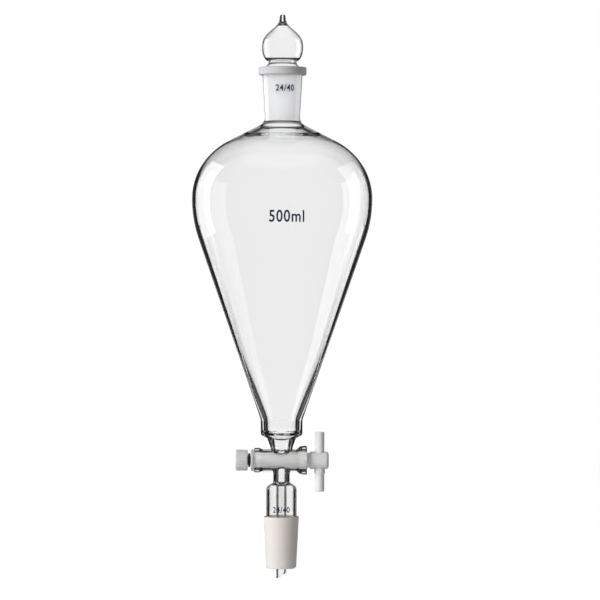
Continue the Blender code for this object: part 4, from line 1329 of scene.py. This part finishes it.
ceiling = maths(tree, "MULTIPLY", rise(tree, level, *CEILING_EDGE), CEILING_LEVEL)
from_middle = maths(tree, "SUBTRACT", maths(tree, "ABSOLUTE", aside), REAR_SIDES[0])
rear_wall = maths(tree, "MULTIPLY", rise(tree, level, *REAR_EDGE), window(tree, from_middle, *REAR_SIDES[1:]))
rear_light = maths(tree, "MULTIPLY", rear_wall, REAR_LEVEL)
in_mirror = maths(tree, "MAXIMUM", maths(tree, "ADD", ceiling, STUDIO_DIM), rear_light)
open_field = choose(tree, rise(tree, level, *OPEN_EDGE), 1.0, STUDIO_DIM)
half_wide, half_tall, soft = FIELD
behind = maths(tree, "MULTIPLY", window(tree, aside, half_wide, soft), window(tree, level, half_tall, soft))
in_wall = maths(tree, "MAXIMUM", maths(tree, "MAXIMUM", behind, ceiling), STUDIO_DIM)
seen_clear = choose(tree, odd, choose(tree, mirrored, open_field, in_mirror), in_wall)

fill = maths(tree, "MULTIPLY", maths(tree, "MULTIPLY_ADD", axes["X"], FILL_TILT, 1.0), FILL_LEVEL)
from_right = maths(tree, "SUBTRACT", aside, RIGHT_SHADE[0])
right_part = window(tree, from_right, *RIGHT_SHADE[1:])
through = maths(tree, "MULTIPLY", maths(tree, "MULTIPLY_ADD", right_part, RIGHT_LOSS, 1.0), THROUGH_LEVEL)
seen_matte = choose(tree, path["Is Transmission Ray"], fill, through)
strength = choose(tree, scattered, seen_clear, seen_matte)
tree.links.new(choose(tree, path["Is Camera Ray"], strength, 1.0), sky.inputs["Strength"])
values(sky, Color=(1.0, 1.0, 1.0, 1.0))
print(f"world {world.name}: {len(tree.nodes)} nodes")

# %% [markdown]
# ## Lamp
#
# One broad lamp stands in front of the part, on the left. It shades the plastic and the ground joints,
# which the world alone would leave flat, and gives the floor a faint shadow. The glass doesn't mirror it,
# because the panels do that work.

# %% Lamp
LAMP_PLACE = (-1.35, -1.05, 0.55)
LAMP_AIM = (0.0, 0.0, 0.1)
LAMP_SIZE = 0.9
LAMP_WATTS = 28.0
lamp_data = bpy.data.lights.new("left_lamp", "AREA")
lamp_data.shape, lamp_data.size, lamp_data.energy = "SQUARE", LAMP_SIZE, LAMP_WATTS
lamp = bpy.data.objects.new("left_lamp", lamp_data)
bpy.context.scene.collection.objects.link(lamp)
lamp.location = LAMP_PLACE
lamp.rotation_euler = (Vector(LAMP_AIM) - Vector(LAMP_PLACE)).to_track_quat("-Z", "Y").to_euler()
lamp.visible_camera = lamp.visible_glossy = lamp.visible_transmission = False
print(f"{lamp.name}: {LAMP_WATTS:.0f} W")

# %% [markdown]
# ## Camera
#
# A catalogue picture of tall glass is taken from far away with a long lens, so that its sides stay straight
# and the rims are seen nearly edge on. A near camera would show more of the top, but it would bend the
# proportions.

# %% Camera
CAMERA_DISTANCE = 2.54
CAMERA_SIDE = 0.0124
CAMERA_HEIGHT = 0.149
CAMERA_ROLL = -0.0026
CAMERA_LENS = 222.0
SENSOR_WIDTH = 36.0
VIEW_END = 50.0
camera_data = bpy.data.cameras.new("camera")
camera_data.lens, camera_data.sensor_width = CAMERA_LENS, SENSOR_WIDTH
camera_data.clip_end = VIEW_END
camera = bpy.data.objects.new("camera", camera_data)
bpy.context.scene.collection.objects.link(camera)
camera.location = (CAMERA_SIDE, -CAMERA_DISTANCE, CAMERA_HEIGHT)
camera.rotation_euler = (math.pi / 2, CAMERA_ROLL, 0.0)
bpy.context.scene.camera = camera
bpy.context.scene.view_settings.view_transform = "Standard"
print(f"camera {CAMERA_DISTANCE:.2f} m away, lens {CAMERA_LENS:.0f} mm")
